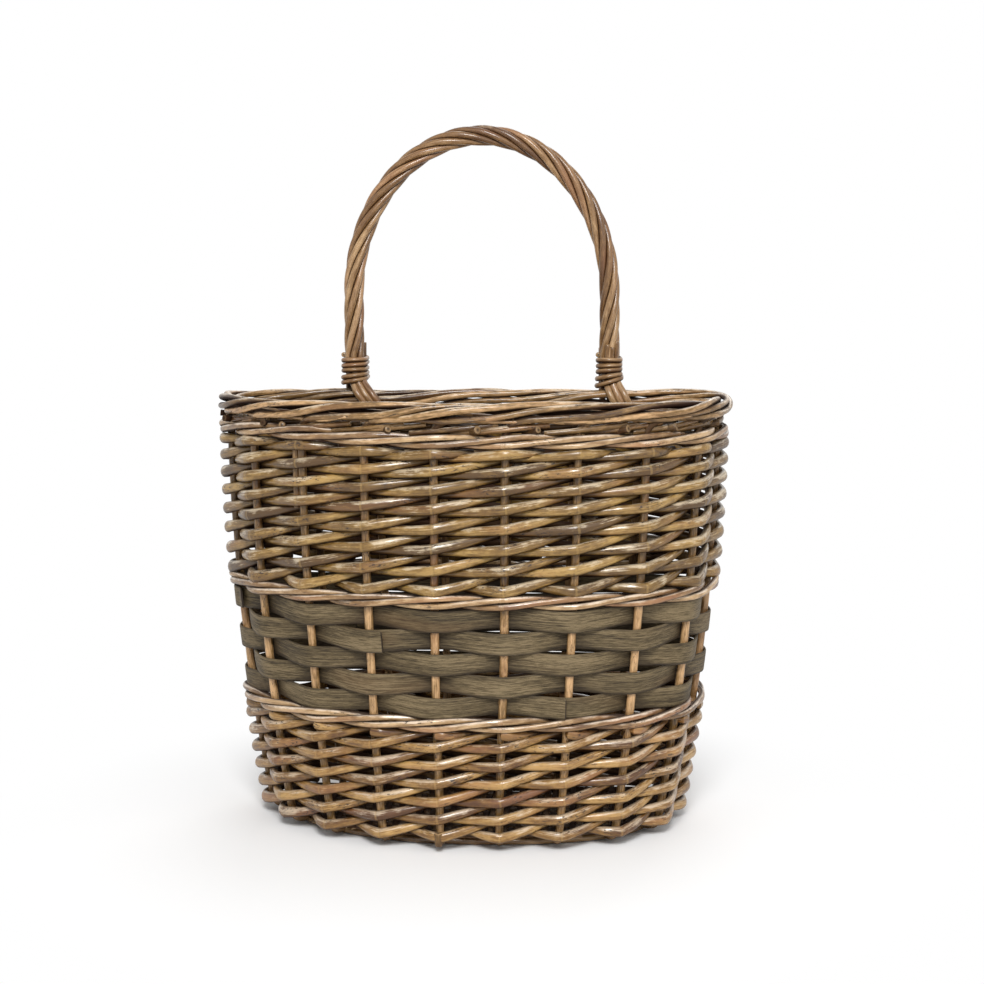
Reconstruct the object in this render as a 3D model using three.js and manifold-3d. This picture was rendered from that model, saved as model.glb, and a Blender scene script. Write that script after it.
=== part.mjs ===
// A D-shaped hanging willow basket with a band of flat wood strips and a twisted hoop handle.
// Millimetres, +Z up. The flat back faces +Y and the round front faces -Y.
// The wall is set out from one plan line, the line through the middle of its stakes, and every
// rod is a closed tube that follows that line or the handle's arch.
import * as THREE from 'three';
import { mergeVertices } from 'three/addons/utils/BufferGeometryUtils.js';
import Module from 'manifold-3d';

const wasm = await Module();
wasm.setup();

// Plan of the wall on the stakes' middle line, at the rim and at the foot, and the place of the
// first stake from the middle of the front, in stake spacings
const rimWidth = 294.5;
const rimDepth = 127;
const footWidth = 246;
const footDepth = 119;
const wallBulge = 11;
const leftCornerRadius = 25;
const rightCornerRadius = 27;
const leftFullness = 0.55;
const rightFullness = 0.71;
const firstStakePlace = 0.6;

// Rods and strips
const stakeCount = 18;
const stakeRadius = 2.4;
const tailRadius = 2.1;
const weaverRadius = 2.5;
const weaverBreadth = 2.2;
const waleRadius = 1.8;
const stripHeight = 12;
const stripThickness = 1.3;
const gap = 0.4;

// Courses of the wall, counted from the foot up
const lowerRows = 11;
const upperRows = 15;
const stripCount = 5;
const rodsPerWale = 3;
const rowPitch = 2 * weaverRadius + 0.45;
const lowerPitch = 2 * weaverRadius + 0.9;
const stripPitch = stripHeight + 0.45;
const waleRise = waleRadius + 0.3;
const climbStakes = 3;
const firstStake = 11;
const stripHalfFlat = 0.1;

// Foot
const footThickness = 8;
const toeCover = 0.5;
const toeLength = 19;
const toeBend = 5;
const boreSides = 8;

// Rolled border
const borderStrands = 4;
const borderRadius = 3.5;
const borderFlare = 3;
const borderRun = 3.8;
const rimOpening = 6.2;

// Handle
const handleSpan = 158;
const handleShift = 3.5;
const handleRise = 161;
const springHeight = 58;
const strandCount = 6;
const strandRadius = 1.95;
const layRadius = 4.6;
const layTurns = 4.5;
const stepsPerTurn = 9;
const loopSlant = 5;
const stubHeight = 6;

// Foot bindings
const bindingRadius = 1.3;
const bindingPitch = 3.2;
const bindingTurns = 5;
const bindingSteps = 16;
const bindingStand = 4.5;

const rodSides = 5;
const up = new THREE.Vector3(0, 0, 1);

// Heights that follow from the courses
const toeHeight = toeCover + gap + stakeRadius;
const weaverOffset = stakeRadius + weaverBreadth + gap;
const waleOffset = stakeRadius + waleRadius + 1.4 * gap;
const stripOffset = stakeRadius + stripThickness / 2 + gap;
const waleHalf = waleRise + waleRadius;
const lowerStart = toeHeight + stakeRadius + weaverRadius + 2.5 * gap;
const lowerTop = lowerStart + (lowerRows - 1) * lowerPitch + weaverRadius;
const lowWale = lowerTop + gap + waleHalf;
const bandStart = lowWale + waleHalf + gap + stripHeight / 2;
const bandTop = bandStart + (stripCount - 1) * stripPitch + stripHeight / 2;
const midWale = bandTop + gap + waleHalf;
const upperStart = midWale + waleHalf + gap + weaverRadius;
const upperTop = upperStart + (upperRows - 1) * rowPitch + weaverRadius;
const rimWale = upperTop + gap + waleHalf;
const borderHeight = rimWale + waleHalf + rimOpening + tailRadius + borderRadius;
const borderTop = borderHeight + borderRadius + tailRadius;

// Plan line at the rim, run anticlockwise from the middle of the front, by arc length
const plan = new THREE.Path();
const halfWidth = rimWidth / 2;
plan.moveTo(0, -rimDepth);
plan.bezierCurveTo(
  rightFullness * halfWidth, -rimDepth,
  halfWidth, -rightCornerRadius - rightFullness * (rimDepth - rightCornerRadius),
  halfWidth, -rightCornerRadius,
);
plan.absarc(halfWidth - rightCornerRadius, -rightCornerRadius, rightCornerRadius, 0, Math.PI / 2);
plan.lineTo(leftCornerRadius - halfWidth, 0);
plan.absarc(leftCornerRadius - halfWidth, -leftCornerRadius, leftCornerRadius, Math.PI / 2, Math.PI);
plan.bezierCurveTo(
  -halfWidth, -leftCornerRadius - leftFullness * (rimDepth - leftCornerRadius),
  -leftFullness * halfWidth, -rimDepth,
  0, -rimDepth,
);
const spacing = plan.getLength() / stakeCount;

// How the plan shrinks from the rim to the foot, with a slight belly between them
function planScale(z) {
  const t = THREE.MathUtils.clamp(z / borderHeight, 0, 1.2);
  const belly = 4 * wallBulge * t * (1 - t);
  return [
    (footWidth + (rimWidth - footWidth) * t + belly) / rimWidth,
    (footDepth + (rimDepth - footDepth) * t + belly / 2) / rimDepth,
  ];
}

// A point beside the wall's middle line: along it in stake spacings, at height z, and outward
function wallPoint(along, z, outward) {
  const u = THREE.MathUtils.euclideanModulo((along + firstStakePlace) / stakeCount, 1);
  const [sx, sy] = planScale(z);
  const point = plan.getPoint(u);
  const tangent = plan.getTangent(u);
  const nx = tangent.y * sy;
  const ny = -tangent.x * sx;
  const length = Math.hypot(nx, ny);
  return new THREE.Vector3(
    point.x * sx + (outward * nx) / length,
    point.y * sy + (outward * ny) / length,
    z,
  );
}

// How far the wall bends away from its own direction within a step to either side
function bendAt(along, step, z) {
  const here = wallPoint(along, z, 0);
  const outward = wallPoint(along, z, 1).sub(here);
  return Math.max(...[-step, step].map((shift) => {
    const chord = wallPoint(along + shift, z, 0).sub(here).normalize();
    return Math.asin(-chord.dot(outward));
  }));
}

// A point of a rod at a stake, with the mitre that keeps its straight runs clear of the stake
function mitredPoint(along, step, z, offset, slope) {
  const bend = Math.max(bendAt(along, step, z), 0);
  const half = offset > 0 ? slope + bend : slope - bend;
  return wallPoint(along, z, offset / Math.cos(half));
}

function roundSection(radial, upright = radial, sides = rodSides) {
  return Array.from({ length: sides }, (_, i) => {
    const angle = (2 * Math.PI * (i + 0.5)) / sides;
    return new THREE.Vector2(radial * Math.cos(angle), upright * Math.sin(angle));
  });
}

function flatSection(thickness, height) {
  const x = thickness / 2;
  const y = height / 2;
  return [[x, -y], [x, y], [-x, y], [-x, -y]].map((p) => new THREE.Vector2(...p));
}

// Directions along a path, averaged at each point
function tangentsOf(points, closed) {
  const n = points.length;
  return points.map((_, i) => {
    const next = points[closed ? (i + 1) % n : Math.min(i + 1, n - 1)];
    const last = points[closed ? (i + n - 1) % n : Math.max(i - 1, 0)];
    return next.clone().sub(last).normalize();
  });
}

// Section axes that stay level, for rods that run round the wall
function levelAxes(tangents, uprights) {
  return tangents.map((t, i) => (
    new THREE.Vector3().crossVectors(t, uprights ? uprights[i] : up).normalize()
  ));
}

// Section axes carried along without twist, for rods that bend every way
function carriedAxes(tangents, start) {
  const axes = [];
  let axis = start.clone();
  for (const tangent of tangents) {
    axis = axis.clone().addScaledVector(tangent, -axis.dot(tangent)).normalize();
    axes.push(axis);
  }
  return axes;
}

// A closed tube of one section along points; scales shrinks or swells it point by point
function sweep(points, section, options = {}) {
  const { closed = false, start = null, scales = null, uprights = null } = options;
  const tangents = tangentsOf(points, closed);
  const axes = start ? carriedAxes(tangents, start) : levelAxes(tangents, uprights);
  const count = points.length;
  const sides = section.length;
  const position = [];
  points.forEach((point, i) => {
    const cross = new THREE.Vector3().crossVectors(tangents[i], axes[i]);
    const scale = scales ? scales[i] : 1;
    for (const corner of section) {
      const vertex = point.clone()
        .addScaledVector(axes[i], corner.x * scale)
        .addScaledVector(cross, corner.y * scale);
      position.push(...vertex.toArray());
    }
  });
  const index = [];
  for (let i = 0; i < (closed ? count : count - 1); i += 1) {
    const here = i * sides;
    const there = ((i + 1) % count) * sides;
    for (let j = 0; j < sides; j += 1) {
      const k = (j + 1) % sides;
      index.push(here + j, here + k, there + k, here + j, there + k, there + j);
    }
  }
  if (!closed) {
    const last = (count - 1) * sides;
    for (let j = 1; j < sides - 1; j += 1) {
      index.push(0, j + 1, j, last, last + j, last + j + 1);
    }
  }
  const geometry = new THREE.BufferGeometry();
  geometry.setAttribute('position', new THREE.Float32BufferAttribute(position, 3));
  geometry.setIndex(index);
  geometry.computeVertexNormals();
  return geometry;
}

function toSolid(geometry) {
  const bare = geometry.clone();
  bare.deleteAttribute('normal');
  bare.deleteAttribute('uv');
  const merged = mergeVertices(bare, 1e-4);
  return new wasm.Manifold(new wasm.Mesh({
    numProp: 3,
    vertProperties: new Float32Array(merged.attributes.position.array),
    triVerts: new Uint32Array(merged.index.array),
  }));
}

function toGeometry(solid) {
  const mesh = solid.getMesh();
  const geometry = new THREE.BufferGeometry();
  geometry.setAttribute('position', new THREE.Float32BufferAttribute(mesh.vertProperties, 3));
  geometry.setIndex(Array.from(mesh.triVerts));
  geometry.computeVertexNormals();
  return geometry;
}

// Plain weave: outside one stake and inside the next, with the mitre that a bend needs
function weaverPoint(stake, outside, z) {
  const slope = Math.atan((2 * weaverOffset) / spacing);
  return mitredPoint(stake, 1, z, outside ? weaverOffset : -weaverOffset, slope);
}

// One weaver of a chasing pair: it keeps its height round the basket and climbs two rows at the back
function weaverGeometry(zStart, pitch, rows, order) {
  const points = [];
  const rounds = Math.ceil((rows - order) / 2);
  const lastStep = rounds * stakeCount - climbStakes;
  for (let step = order; step <= lastStep; step += 1) {
    const level = Math.floor(step / stakeCount);
    const intoClimb = (step % stakeCount) - (stakeCount - climbStakes);
    const climb = THREE.MathUtils.smoothstep(intoClimb, 0, climbStakes);
    const z = zStart + pitch * (2 * (level + climb) + order);
    const outside = (firstStake + step + order) % 2 === 0;
    points.push(weaverPoint(firstStake + step, outside, z));
  }
  return sweep(points, roundSection(weaverBreadth, weaverRadius));
}

// One rod of a three-rod wale: before two stakes, rising, and behind the third
function waleGeometry(z, rod) {
  const points = [];
  const at = [[1, -1], [1, 1], [-1, 0]];
  const between = [[1, 0], [0, 1], [0, -1]];
  for (let stake = 0; stake < stakeCount; stake += 1) {
    const state = (stake + rod) % rodsPerWale;
    for (const [shift, [side, rise]] of [[0, at[state]], [0.5, between[state]]]) {
      const level = z + rise * waleRise;
      points.push(mitredPoint(stake + shift, 0.5, level, side * waleOffset, 0));
    }
  }
  return sweep(points, roundSection(waleRadius), { closed: true });
}

// One flat strip, laid flat over each stake on its own side
function stripGeometry(row) {
  const points = [];
  const uprights = [];
  const z = bandStart + row * stripPitch;
  for (let stake = 0; stake < stakeCount; stake += 1) {
    const side = (stake + row) % 2 === 0 ? -1 : 1;
    for (const shift of [-stripHalfFlat, stripHalfFlat]) {
      points.push(mitredPoint(stake + shift, 2 * stripHalfFlat, z, side * stripOffset, 0));
      const top = wallPoint(stake + shift, z + stripHeight / 2, 0);
      uprights.push(top.sub(wallPoint(stake + shift, z - stripHeight / 2, 0)).normalize());
    }
  }
  return sweep(points, flatSection(stripThickness, stripHeight), { closed: true, uprights });
}

// The tail of a stake rolls with its neighbours round the border's middle line
function borderPoint(along, run) {
  const angle = (2 * Math.PI * run) / borderStrands - Math.PI / 2;
  const z = borderHeight + borderRadius * Math.sin(angle);
  return wallPoint(along, z, borderFlare + borderRadius * Math.cos(angle));
}

function stakeGeometry(stake) {
  const points = [
    wallPoint(stake, toeHeight, -(toeBend + toeLength)),
    wallPoint(stake, toeHeight, -toeBend),
    wallPoint(stake, toeHeight + 0.3 * toeBend, -0.3 * toeBend),
  ];
  for (const z of [toeHeight + toeBend, lowWale, (bandStart + bandTop) / 2, midWale, upperTop, rimWale]) {
    points.push(wallPoint(stake, z, 0));
  }
  const bend = 0.15;
  const below = borderHeight - borderRadius;
  points.push(wallPoint(stake, below - 1.1 * rimOpening, 0.2 * borderFlare));
  points.push(wallPoint(stake + 0.25 * bend, below - 0.3 * rimOpening, 0.85 * borderFlare));
  points.push(borderPoint(stake + bend, bend));
  const wallCount = points.length;
  for (let run = 1 / 3; run < borderRun; run += 1 / 3) {
    points.push(borderPoint(stake + run, run));
  }
  points.push(borderPoint(stake + borderRun, borderRun));
  const scales = points.map((_, i) => (i < wallCount - 1 ? 1 : tailRadius / stakeRadius));
  const along = wallPoint(stake + 0.01, 0, 0).sub(wallPoint(stake, 0, 0)).normalize();
  return sweep(points, roundSection(stakeRadius), { start: along, scales });
}

// The woven base as one slab, bored for the stakes' toes
function baseGeometry() {
  const inset = weaverOffset + weaverBreadth + gap;
  const outline = [];
  for (let along = 0; along < stakeCount; along += 1 / 3) {
    const point = wallPoint(along, 0, -inset);
    outline.push(new THREE.Vector2(point.x, point.y));
  }
  const slab = new THREE.ExtrudeGeometry(new THREE.Shape(outline), {
    depth: footThickness, bevelEnabled: false, steps: 1, curveSegments: 1,
  });
  let solid = toSolid(slab);
  for (let stake = 0; stake < stakeCount; stake += 1) {
    const bore = new THREE.CylinderGeometry(
      stakeRadius + gap, stakeRadius + gap, toeLength + gap, boreSides,
    );
    const inner = wallPoint(stake, toeHeight, -(toeBend + toeLength + gap));
    const outer = wallPoint(stake, toeHeight, -toeBend);
    const direction = outer.clone().sub(inner).normalize();
    bore.applyQuaternion(new THREE.Quaternion().setFromUnitVectors(new THREE.Vector3(0, 1, 0), direction));
    bore.translate(...inner.add(outer).multiplyScalar(0.5).toArray());
    solid = solid.subtract(toSolid(bore));
  }
  return toGeometry(solid);
}

// Handle arch: a straight leg, a half ellipse and a straight leg, over the back border
const handlePlane = borderFlare;
const handleTop = borderTop + handleRise - layRadius - strandRadius;
const springLevel = borderTop + springHeight;
const legX = handleSpan / 2;
const strandFoot = borderTop + gap;
const bindingLow = borderTop + bindingStand;
const bindingHigh = bindingLow + bindingTurns * bindingPitch;

function archPoint(t) {
  const legPart = (springLevel - bindingHigh) / 2;
  const arcLength = (Math.PI * (legX + handleTop - springLevel)) / 2;
  const total = 4 * legPart + arcLength;
  const s = t * total;
  const side = s < total / 2 ? -1 : 1;
  const fromFoot = Math.min(s, total - s);
  if (fromFoot < 2 * legPart) {
    return new THREE.Vector3(handleShift + side * legX, handlePlane, bindingHigh + fromFoot);
  }
  const angle = (Math.PI * (s - 2 * legPart)) / arcLength;
  return new THREE.Vector3(
    handleShift - legX * Math.cos(angle),
    handlePlane,
    springLevel + (handleTop - springLevel) * Math.sin(angle),
  );
}

function strandPoint(t, angle) {
  const step = 1e-3;
  const ahead = archPoint(Math.min(t + step, 1));
  const tangent = ahead.sub(archPoint(Math.max(t - step, 0))).normalize();
  const outward = new THREE.Vector3(-tangent.z, 0, tangent.x);
  return archPoint(t)
    .addScaledVector(outward, layRadius * Math.cos(angle))
    .add(new THREE.Vector3(0, layRadius * Math.sin(angle), 0));
}

const loopStep = Math.PI / 6;
const loopRadius = (borderRadius + tailRadius + strandRadius + gap) / Math.cos(loopStep / 2);
const returnOffset = layRadius + 2 * strandRadius + gap;
const returnStep = 2 * strandRadius + 1.2 * gap;

// The foot of a strand, from the binding down: the front three go under the border and come up
// behind it into the binding, and the others stand on the border
function strandFootPoints(side, angle) {
  const x = handleShift + side * legX + side * layRadius * Math.cos(angle);
  const y = handlePlane + layRadius * Math.sin(angle);
  if (Math.sin(angle) > -0.1) {
    return [new THREE.Vector3(x, y, strandFoot)];
  }
  const place = Math.round((side * Math.cos(angle)) / Math.cos(Math.PI / 6));
  const spread = handleShift + side * legX + place * returnStep;
  const points = [new THREE.Vector3(x, y, bindingLow)];
  for (let turn = -1; turn <= 5; turn += 1) {
    const angleRound = Math.PI + turn * loopStep;
    const slant = loopSlant * Math.sin((Math.PI * (turn + 1)) / 7);
    points.push(new THREE.Vector3(
      spread + slant,
      handlePlane + loopRadius * Math.cos(angleRound),
      borderHeight + loopRadius * Math.sin(angleRound),
    ));
  }
  return points;
}

function strandReturnPoints(side, angle) {
  const place = Math.round((side * Math.cos(angle)) / Math.cos(Math.PI / 6));
  const x = handleShift + side * legX + place * returnStep;
  const y = handlePlane + returnOffset;
  return [
    new THREE.Vector3(x, y, borderHeight + strandRadius / 2),
    new THREE.Vector3(x, y, bindingHigh + stubHeight),
  ];
}

function footPath(side, angle) {
  const down = strandFootPoints(side, angle);
  return down.length > 1 ? [...down, ...strandReturnPoints(side, angle)] : down;
}

function strandGeometry(strand) {
  const startAngle = Math.PI * (0.5 + (2 * strand) / strandCount);
  const steps = Math.round(layTurns * stepsPerTurn);
  const points = [];
  for (let step = 0; step <= steps; step += 1) {
    points.push(strandPoint(step / steps, startAngle - (2 * Math.PI * layTurns * step) / steps));
  }
  const endAngle = startAngle - 2 * Math.PI * layTurns;
  const left = footPath(-1, startAngle).reverse();
  const right = footPath(1, endAngle);
  return sweep([...left, ...points, ...right], roundSection(strandRadius), {
    start: new THREE.Vector3(0, 1, 0.01),
  });
}

function coreGeometry() {
  const points = [new THREE.Vector3(handleShift - legX, handlePlane, strandFoot)];
  const steps = 22;
  for (let step = 0; step <= steps; step += 1) {
    points.push(archPoint(step / steps));
  }
  points.push(new THREE.Vector3(handleShift + legX, handlePlane, strandFoot));
  const hollow = layRadius * Math.cos(Math.PI / stepsPerTurn) - strandRadius;
  return sweep(points, roundSection(hollow - gap), {
    start: new THREE.Vector3(0, 1, 0),
  });
}

// The binding wraps the leg and the ends that come up behind it, as one wound rod
function bindingGeometry(side) {
  const reach = layRadius + strandRadius + bindingRadius + 1.5 * gap;
  const corner = reach - returnStep;
  const wrap = new THREE.Path();
  wrap.absarc(0, 0, reach, Math.PI, 2 * Math.PI);
  wrap.absarc(returnStep, returnOffset, corner, 0, Math.PI / 2);
  wrap.absarc(-returnStep, returnOffset, corner, Math.PI / 2, Math.PI);
  wrap.lineTo(-reach, 0);
  const points = [];
  for (let step = 0; step <= bindingTurns * bindingSteps; step += 1) {
    const turn = step / bindingSteps;
    const place = wrap.getPoint(turn % 1);
    points.push(new THREE.Vector3(
      handleShift + side * legX + place.x,
      handlePlane + place.y,
      bindingLow + turn * bindingPitch,
    ));
  }
  console.log('binding least gap to itself', leastSelfGap(points, bindingSteps, bindingRadius), 'mm');
  return sweep(points, roundSection(bindingRadius));
}

// Least clear gap between points of one wound rod that are more than half a turn apart
function leastSelfGap(points, steps, radius) {
  let least = Infinity;
  for (let i = 0; i < points.length; i += 1) {
    for (let j = i + Math.ceil(steps / 2); j < points.length; j += 1) {
      least = Math.min(least, points[i].distanceTo(points[j]) - 2 * radius);
    }
  }
  return Number(least.toFixed(2));
}

const finishes = {
  stake: { color: 0xa9794f, roughness: 0.6, metalness: 0 },
  weaver: { color: 0xa58a62, roughness: 0.62, metalness: 0 },
  wale: { color: 0xb98f66, roughness: 0.6, metalness: 0 },
  strip: { color: 0x6f6250, roughness: 0.75, metalness: 0 },
  handle: { color: 0x9c7a55, roughness: 0.55, metalness: 0 },
  base: { color: 0x94785a, roughness: 0.7, metalness: 0 },
};

const basket = new THREE.Group();

function add(name, geometry, finish) {
  const mesh = new THREE.Mesh(geometry, new THREE.MeshStandardMaterial(finishes[finish]));
  mesh.name = name;
  basket.add(mesh);
}

add('woven_base', baseGeometry(), 'base');
for (let stake = 0; stake < stakeCount; stake += 1) {
  add(`stake_${String(stake + 1).padStart(2, '0')}`, stakeGeometry(stake), 'stake');
}
for (const order of [0, 1]) {
  add(`lower_weaver_${order + 1}`, weaverGeometry(lowerStart, lowerPitch, lowerRows, order), 'weaver');
  add(`upper_weaver_${order + 1}`, weaverGeometry(upperStart, rowPitch, upperRows, order), 'weaver');
}
for (const [course, z] of [['low', lowWale], ['mid', midWale], ['rim', rimWale]]) {
  for (let rod = 0; rod < rodsPerWale; rod += 1) {
    add(`${course}_wale_rod_${rod + 1}`, waleGeometry(z, rod), 'wale');
  }
}
for (let row = 0; row < stripCount; row += 1) {
  add(`wood_strip_${row + 1}`, stripGeometry(row), 'strip');
}
add('handle_core', coreGeometry(), 'handle');
for (let strand = 0; strand < strandCount; strand += 1) {
  add(`handle_strand_${strand + 1}`, strandGeometry(strand), 'handle');
}
add('left_binding', bindingGeometry(-1), 'handle');
add('right_binding', bindingGeometry(1), 'handle');

// Origin at the middle of the footprint, on the surface that the basket stands on
const box = new THREE.Box3().setFromObject(basket);
const centre = box.getCenter(new THREE.Vector3());
basket.position.set(-centre.x, -centre.y, -box.min.z);

export default basket;
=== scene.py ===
"""Looks of a hanging willow basket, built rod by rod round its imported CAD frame.

The basket has a flat back and a round front. Its wall is plain weave with three twined courses
and a band of flat wood strips, its border is rolled from the stakes' own ends, and a twisted
hoop handle is bound to the back border. Hoop, wales, strips and uprights follow their CAD solids.
Weavers and border fill the space of theirs, and the weavers are more and shorter rods.
"""
import logging
import math
import random
from dataclasses import dataclass, field
from enum import Enum
from typing import Callable, Optional, Sequence, Union

import bpy
import numpy as np
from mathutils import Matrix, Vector


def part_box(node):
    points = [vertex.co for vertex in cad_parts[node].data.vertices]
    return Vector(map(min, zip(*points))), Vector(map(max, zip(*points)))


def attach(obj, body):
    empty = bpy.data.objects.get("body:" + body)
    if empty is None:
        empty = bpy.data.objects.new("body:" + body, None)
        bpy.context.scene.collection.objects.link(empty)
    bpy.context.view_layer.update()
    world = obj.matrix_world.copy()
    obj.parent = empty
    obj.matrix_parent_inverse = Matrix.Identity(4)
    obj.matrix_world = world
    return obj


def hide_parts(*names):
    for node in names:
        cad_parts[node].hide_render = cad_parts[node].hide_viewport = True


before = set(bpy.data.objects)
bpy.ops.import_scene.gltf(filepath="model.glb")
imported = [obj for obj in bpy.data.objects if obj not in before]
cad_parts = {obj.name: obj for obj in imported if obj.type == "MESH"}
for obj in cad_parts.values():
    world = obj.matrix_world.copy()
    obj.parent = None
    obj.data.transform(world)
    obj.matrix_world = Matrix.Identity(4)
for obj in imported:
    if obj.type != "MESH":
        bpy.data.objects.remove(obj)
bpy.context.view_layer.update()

MM = 0.001
PHOTO_SIZE = 984
WHITE = (1, 1, 1, 1)
# What each vertex carries for the finishes, besides its place in the wood: tone, painted shade, cut ends and
# bend.
LAYERS = ("tone", "hollow", "cut", "bend")
# How many points of a line are measured against at once, which keeps memory small.
NEAREST_PART = 60
log = logging.getLogger("basket")


class End(Enum):
    """How a rod's end is finished: rings of its radius and how far out they lie, then its middle's reach."""

    CUT = (((0.86, 0.12),), 0.12)
    TIP = (((0.8, 0.5), (0.45, 1.0)), 1.25)


@dataclass(frozen=True)
class WallSizes:
    """Driving sizes of the wall, the same as the CAD source's, in metres."""

    rim_width: float = 294.5 * MM
    rim_depth: float = 127 * MM
    foot_width: float = 246 * MM
    foot_depth: float = 119 * MM
    bulge: float = 11 * MM
    left_corner: float = 25 * MM
    right_corner: float = 27 * MM
    left_fullness: float = 0.55
    right_fullness: float = 0.71
    first_place: float = 0.6
    stakes: int = 18
    stake: float = 2.4 * MM
    tail: float = 2.1 * MM
    weaver: float = 2.5 * MM
    weaver_breadth: float = 2.2 * MM
    wale: float = 1.8 * MM
    strip_height: float = 12 * MM
    strip_thickness: float = 1.3 * MM
    gap: float = 0.4 * MM
    lower_rows: int = 11
    upper_rows: int = 15
    strips: int = 5
    wale_rods: int = 3
    toe_cover: float = 0.5 * MM
    toe_length: float = 19 * MM
    toe_bend: float = 5 * MM
    foot_thickness: float = 8 * MM
    border_radius: float = 3.5 * MM
    border_flare: float = 3 * MM
    rim_opening: float = 6.2 * MM

    @property
    def row_pitch(self) -> float:
        """Height of one row above the band."""
        return 2 * self.weaver + 0.45 * MM

    @property
    def lower_pitch(self) -> float:
        """Height of one row below the band."""
        return 2 * self.weaver + 0.9 * MM

    @property
    def strip_pitch(self) -> float:
        """Height of one strip with its gap."""
        return self.strip_height + 0.45 * MM

    @property
    def weaver_offset(self) -> float:
        """Distance from a stake's middle to the middle of a weaver beside it."""
        return self.stake + self.weaver_breadth + self.gap

    @property
    def wale_offset(self) -> float:
        """Distance from a stake's middle to the middle of a wale rod beside it."""
        return self.stake + self.wale + 1.4 * self.gap

    @property
    def strip_offset(self) -> float:
        """Distance from a stake's middle to the middle of a strip beside it."""
        return self.stake + self.strip_thickness / 2 + self.gap

    @property
    def wale_rise(self) -> float:
        """How far a wale rod rises and falls about its course."""
        return self.wale + 0.3 * MM

    @property
    def wale_half(self) -> float:
        """Half the height of a wale course."""
        return self.wale_rise + self.wale

    @property
    def toe_height(self) -> float:
        """Height of the stakes' toes in the base."""
        return self.toe_cover + self.gap + self.stake

    @property
    def lower_start(self) -> float:
        """Height of the lowest woven row."""
        return self.toe_height + self.stake + self.weaver + 2.5 * self.gap

    @property
    def low_wale(self) -> float:
        """Height of the wale below the band."""
        top = self.lower_start + (self.lower_rows - 1) * self.lower_pitch + self.weaver
        return top + self.gap + self.wale_half

    @property
    def band_start(self) -> float:
        """Height of the middle of the lowest strip."""
        return self.low_wale + self.wale_half + self.gap + self.strip_height / 2

    @property
    def mid_wale(self) -> float:
        """Height of the wale above the band."""
        band_top = self.band_start + (self.strips - 1) * self.strip_pitch + self.strip_height / 2
        return band_top + self.gap + self.wale_half

    @property
    def upper_start(self) -> float:
        """Height of the lowest row above the band."""
        return self.mid_wale + self.wale_half + self.gap + self.weaver

    @property
    def upper_top(self) -> float:
        """Height of the top of the upper rows."""
        return self.upper_start + (self.upper_rows - 1) * self.row_pitch + self.weaver

    @property
    def rim_wale(self) -> float:
        """Height of the wale under the rim."""
        return self.upper_top + self.gap + self.wale_half

    @property
    def border_height(self) -> float:
        """Height of the border's middle line."""
        return self.rim_wale + self.wale_half + self.rim_opening + self.tail + self.border_radius

    @property
    def border_top(self) -> float:
        """Height of the top of the border."""
        return self.border_height + self.border_radius + self.tail


@dataclass(frozen=True)
class HandleSizes:
    """Driving sizes of the handle and its bindings, in metres.

    The hoop is the CAD source's. Its strands lie close, with a longer lay, and its bindings are drawn tight.
    """

    span: float = 158 * MM
    aside: float = 3.5 * MM
    rise: float = 161 * MM
    spring: float = 58 * MM
    strands: int = 6
    strand: float = 2.0 * MM
    lay: float = 4.15 * MM
    turns: float = 3.5
    left_slant: float = 12 * MM
    right_slant: float = 8.5 * MM
    stub: float = 6 * MM
    binding: float = 1.5 * MM
    binding_pitch: float = 3.2 * MM
    binding_turns: int = 5
    binding_stand: float = 4.5 * MM
    binding_bite: float = 0.9 * MM
    binding_wobble: float = 0.35 * MM
    low_tilt: float = 1.7 * MM
    high_tilt: float = 1.1 * MM
    low_drop: float = 0.5 * MM
    cut_end: float = 1.35 * MM


def unit(rows: np.ndarray) -> np.ndarray:
    """Vectors, one to a row, scaled to length one."""
    return rows / np.maximum(np.linalg.norm(rows, axis=-1, keepdims=True), 1e-12)


def tangents(line: np.ndarray, closed: bool = False) -> np.ndarray:
    """Directions along a line.

    Args:
        line: Points of the line.
        closed: True if the last point joins the first.

    Returns:
        One unit direction for each point.
    """
    if closed:
        return unit(np.roll(line, -1, axis=0) - np.roll(line, 1, axis=0))
    ahead = np.vstack([line[1:], line[-1:]])
    behind = np.vstack([line[:1], line[:-1]])
    return unit(ahead - behind)


def travelled(line: np.ndarray) -> np.ndarray:
    """Distance from a line's start to each of its points."""
    return np.concatenate([[0], np.cumsum(np.linalg.norm(np.diff(line, axis=0), axis=1))])


def spaced(line: np.ndarray, step: float) -> np.ndarray:
    """Resamples a line evenly.

    Args:
        line: Points of the line.
        step: Wanted distance between points.

    Returns:
        Evenly spaced points with the same two ends.
    """
    lengths = travelled(line)
    count = max(int(round(lengths[-1] / step)), 2)
    at = np.linspace(0, lengths[-1], count + 1)
    return np.stack([np.interp(at, lengths, line[:, k]) for k in range(3)], axis=1)


def rounded(corners: np.ndarray, step: float, passes: int = 4) -> np.ndarray:
    """A smooth line that touches the middle of each stretch between corner points.

    Args:
        corners: Points of the rough line.
        step: Distance between the points returned.
        passes: How often the corners are cut.

    Returns:
        Evenly spaced points of the smooth line.
    """
    line = np.asarray(corners, float)
    for _ in range(passes):
        near = 0.75 * line[:-1] + 0.25 * line[1:]
        far = 0.25 * line[:-1] + 0.75 * line[1:]
        inner = np.stack([near, far], axis=1).reshape(-1, 3)
        line = np.vstack([line[:1], inner, line[-1:]])
    return spaced(line, step)


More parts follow.
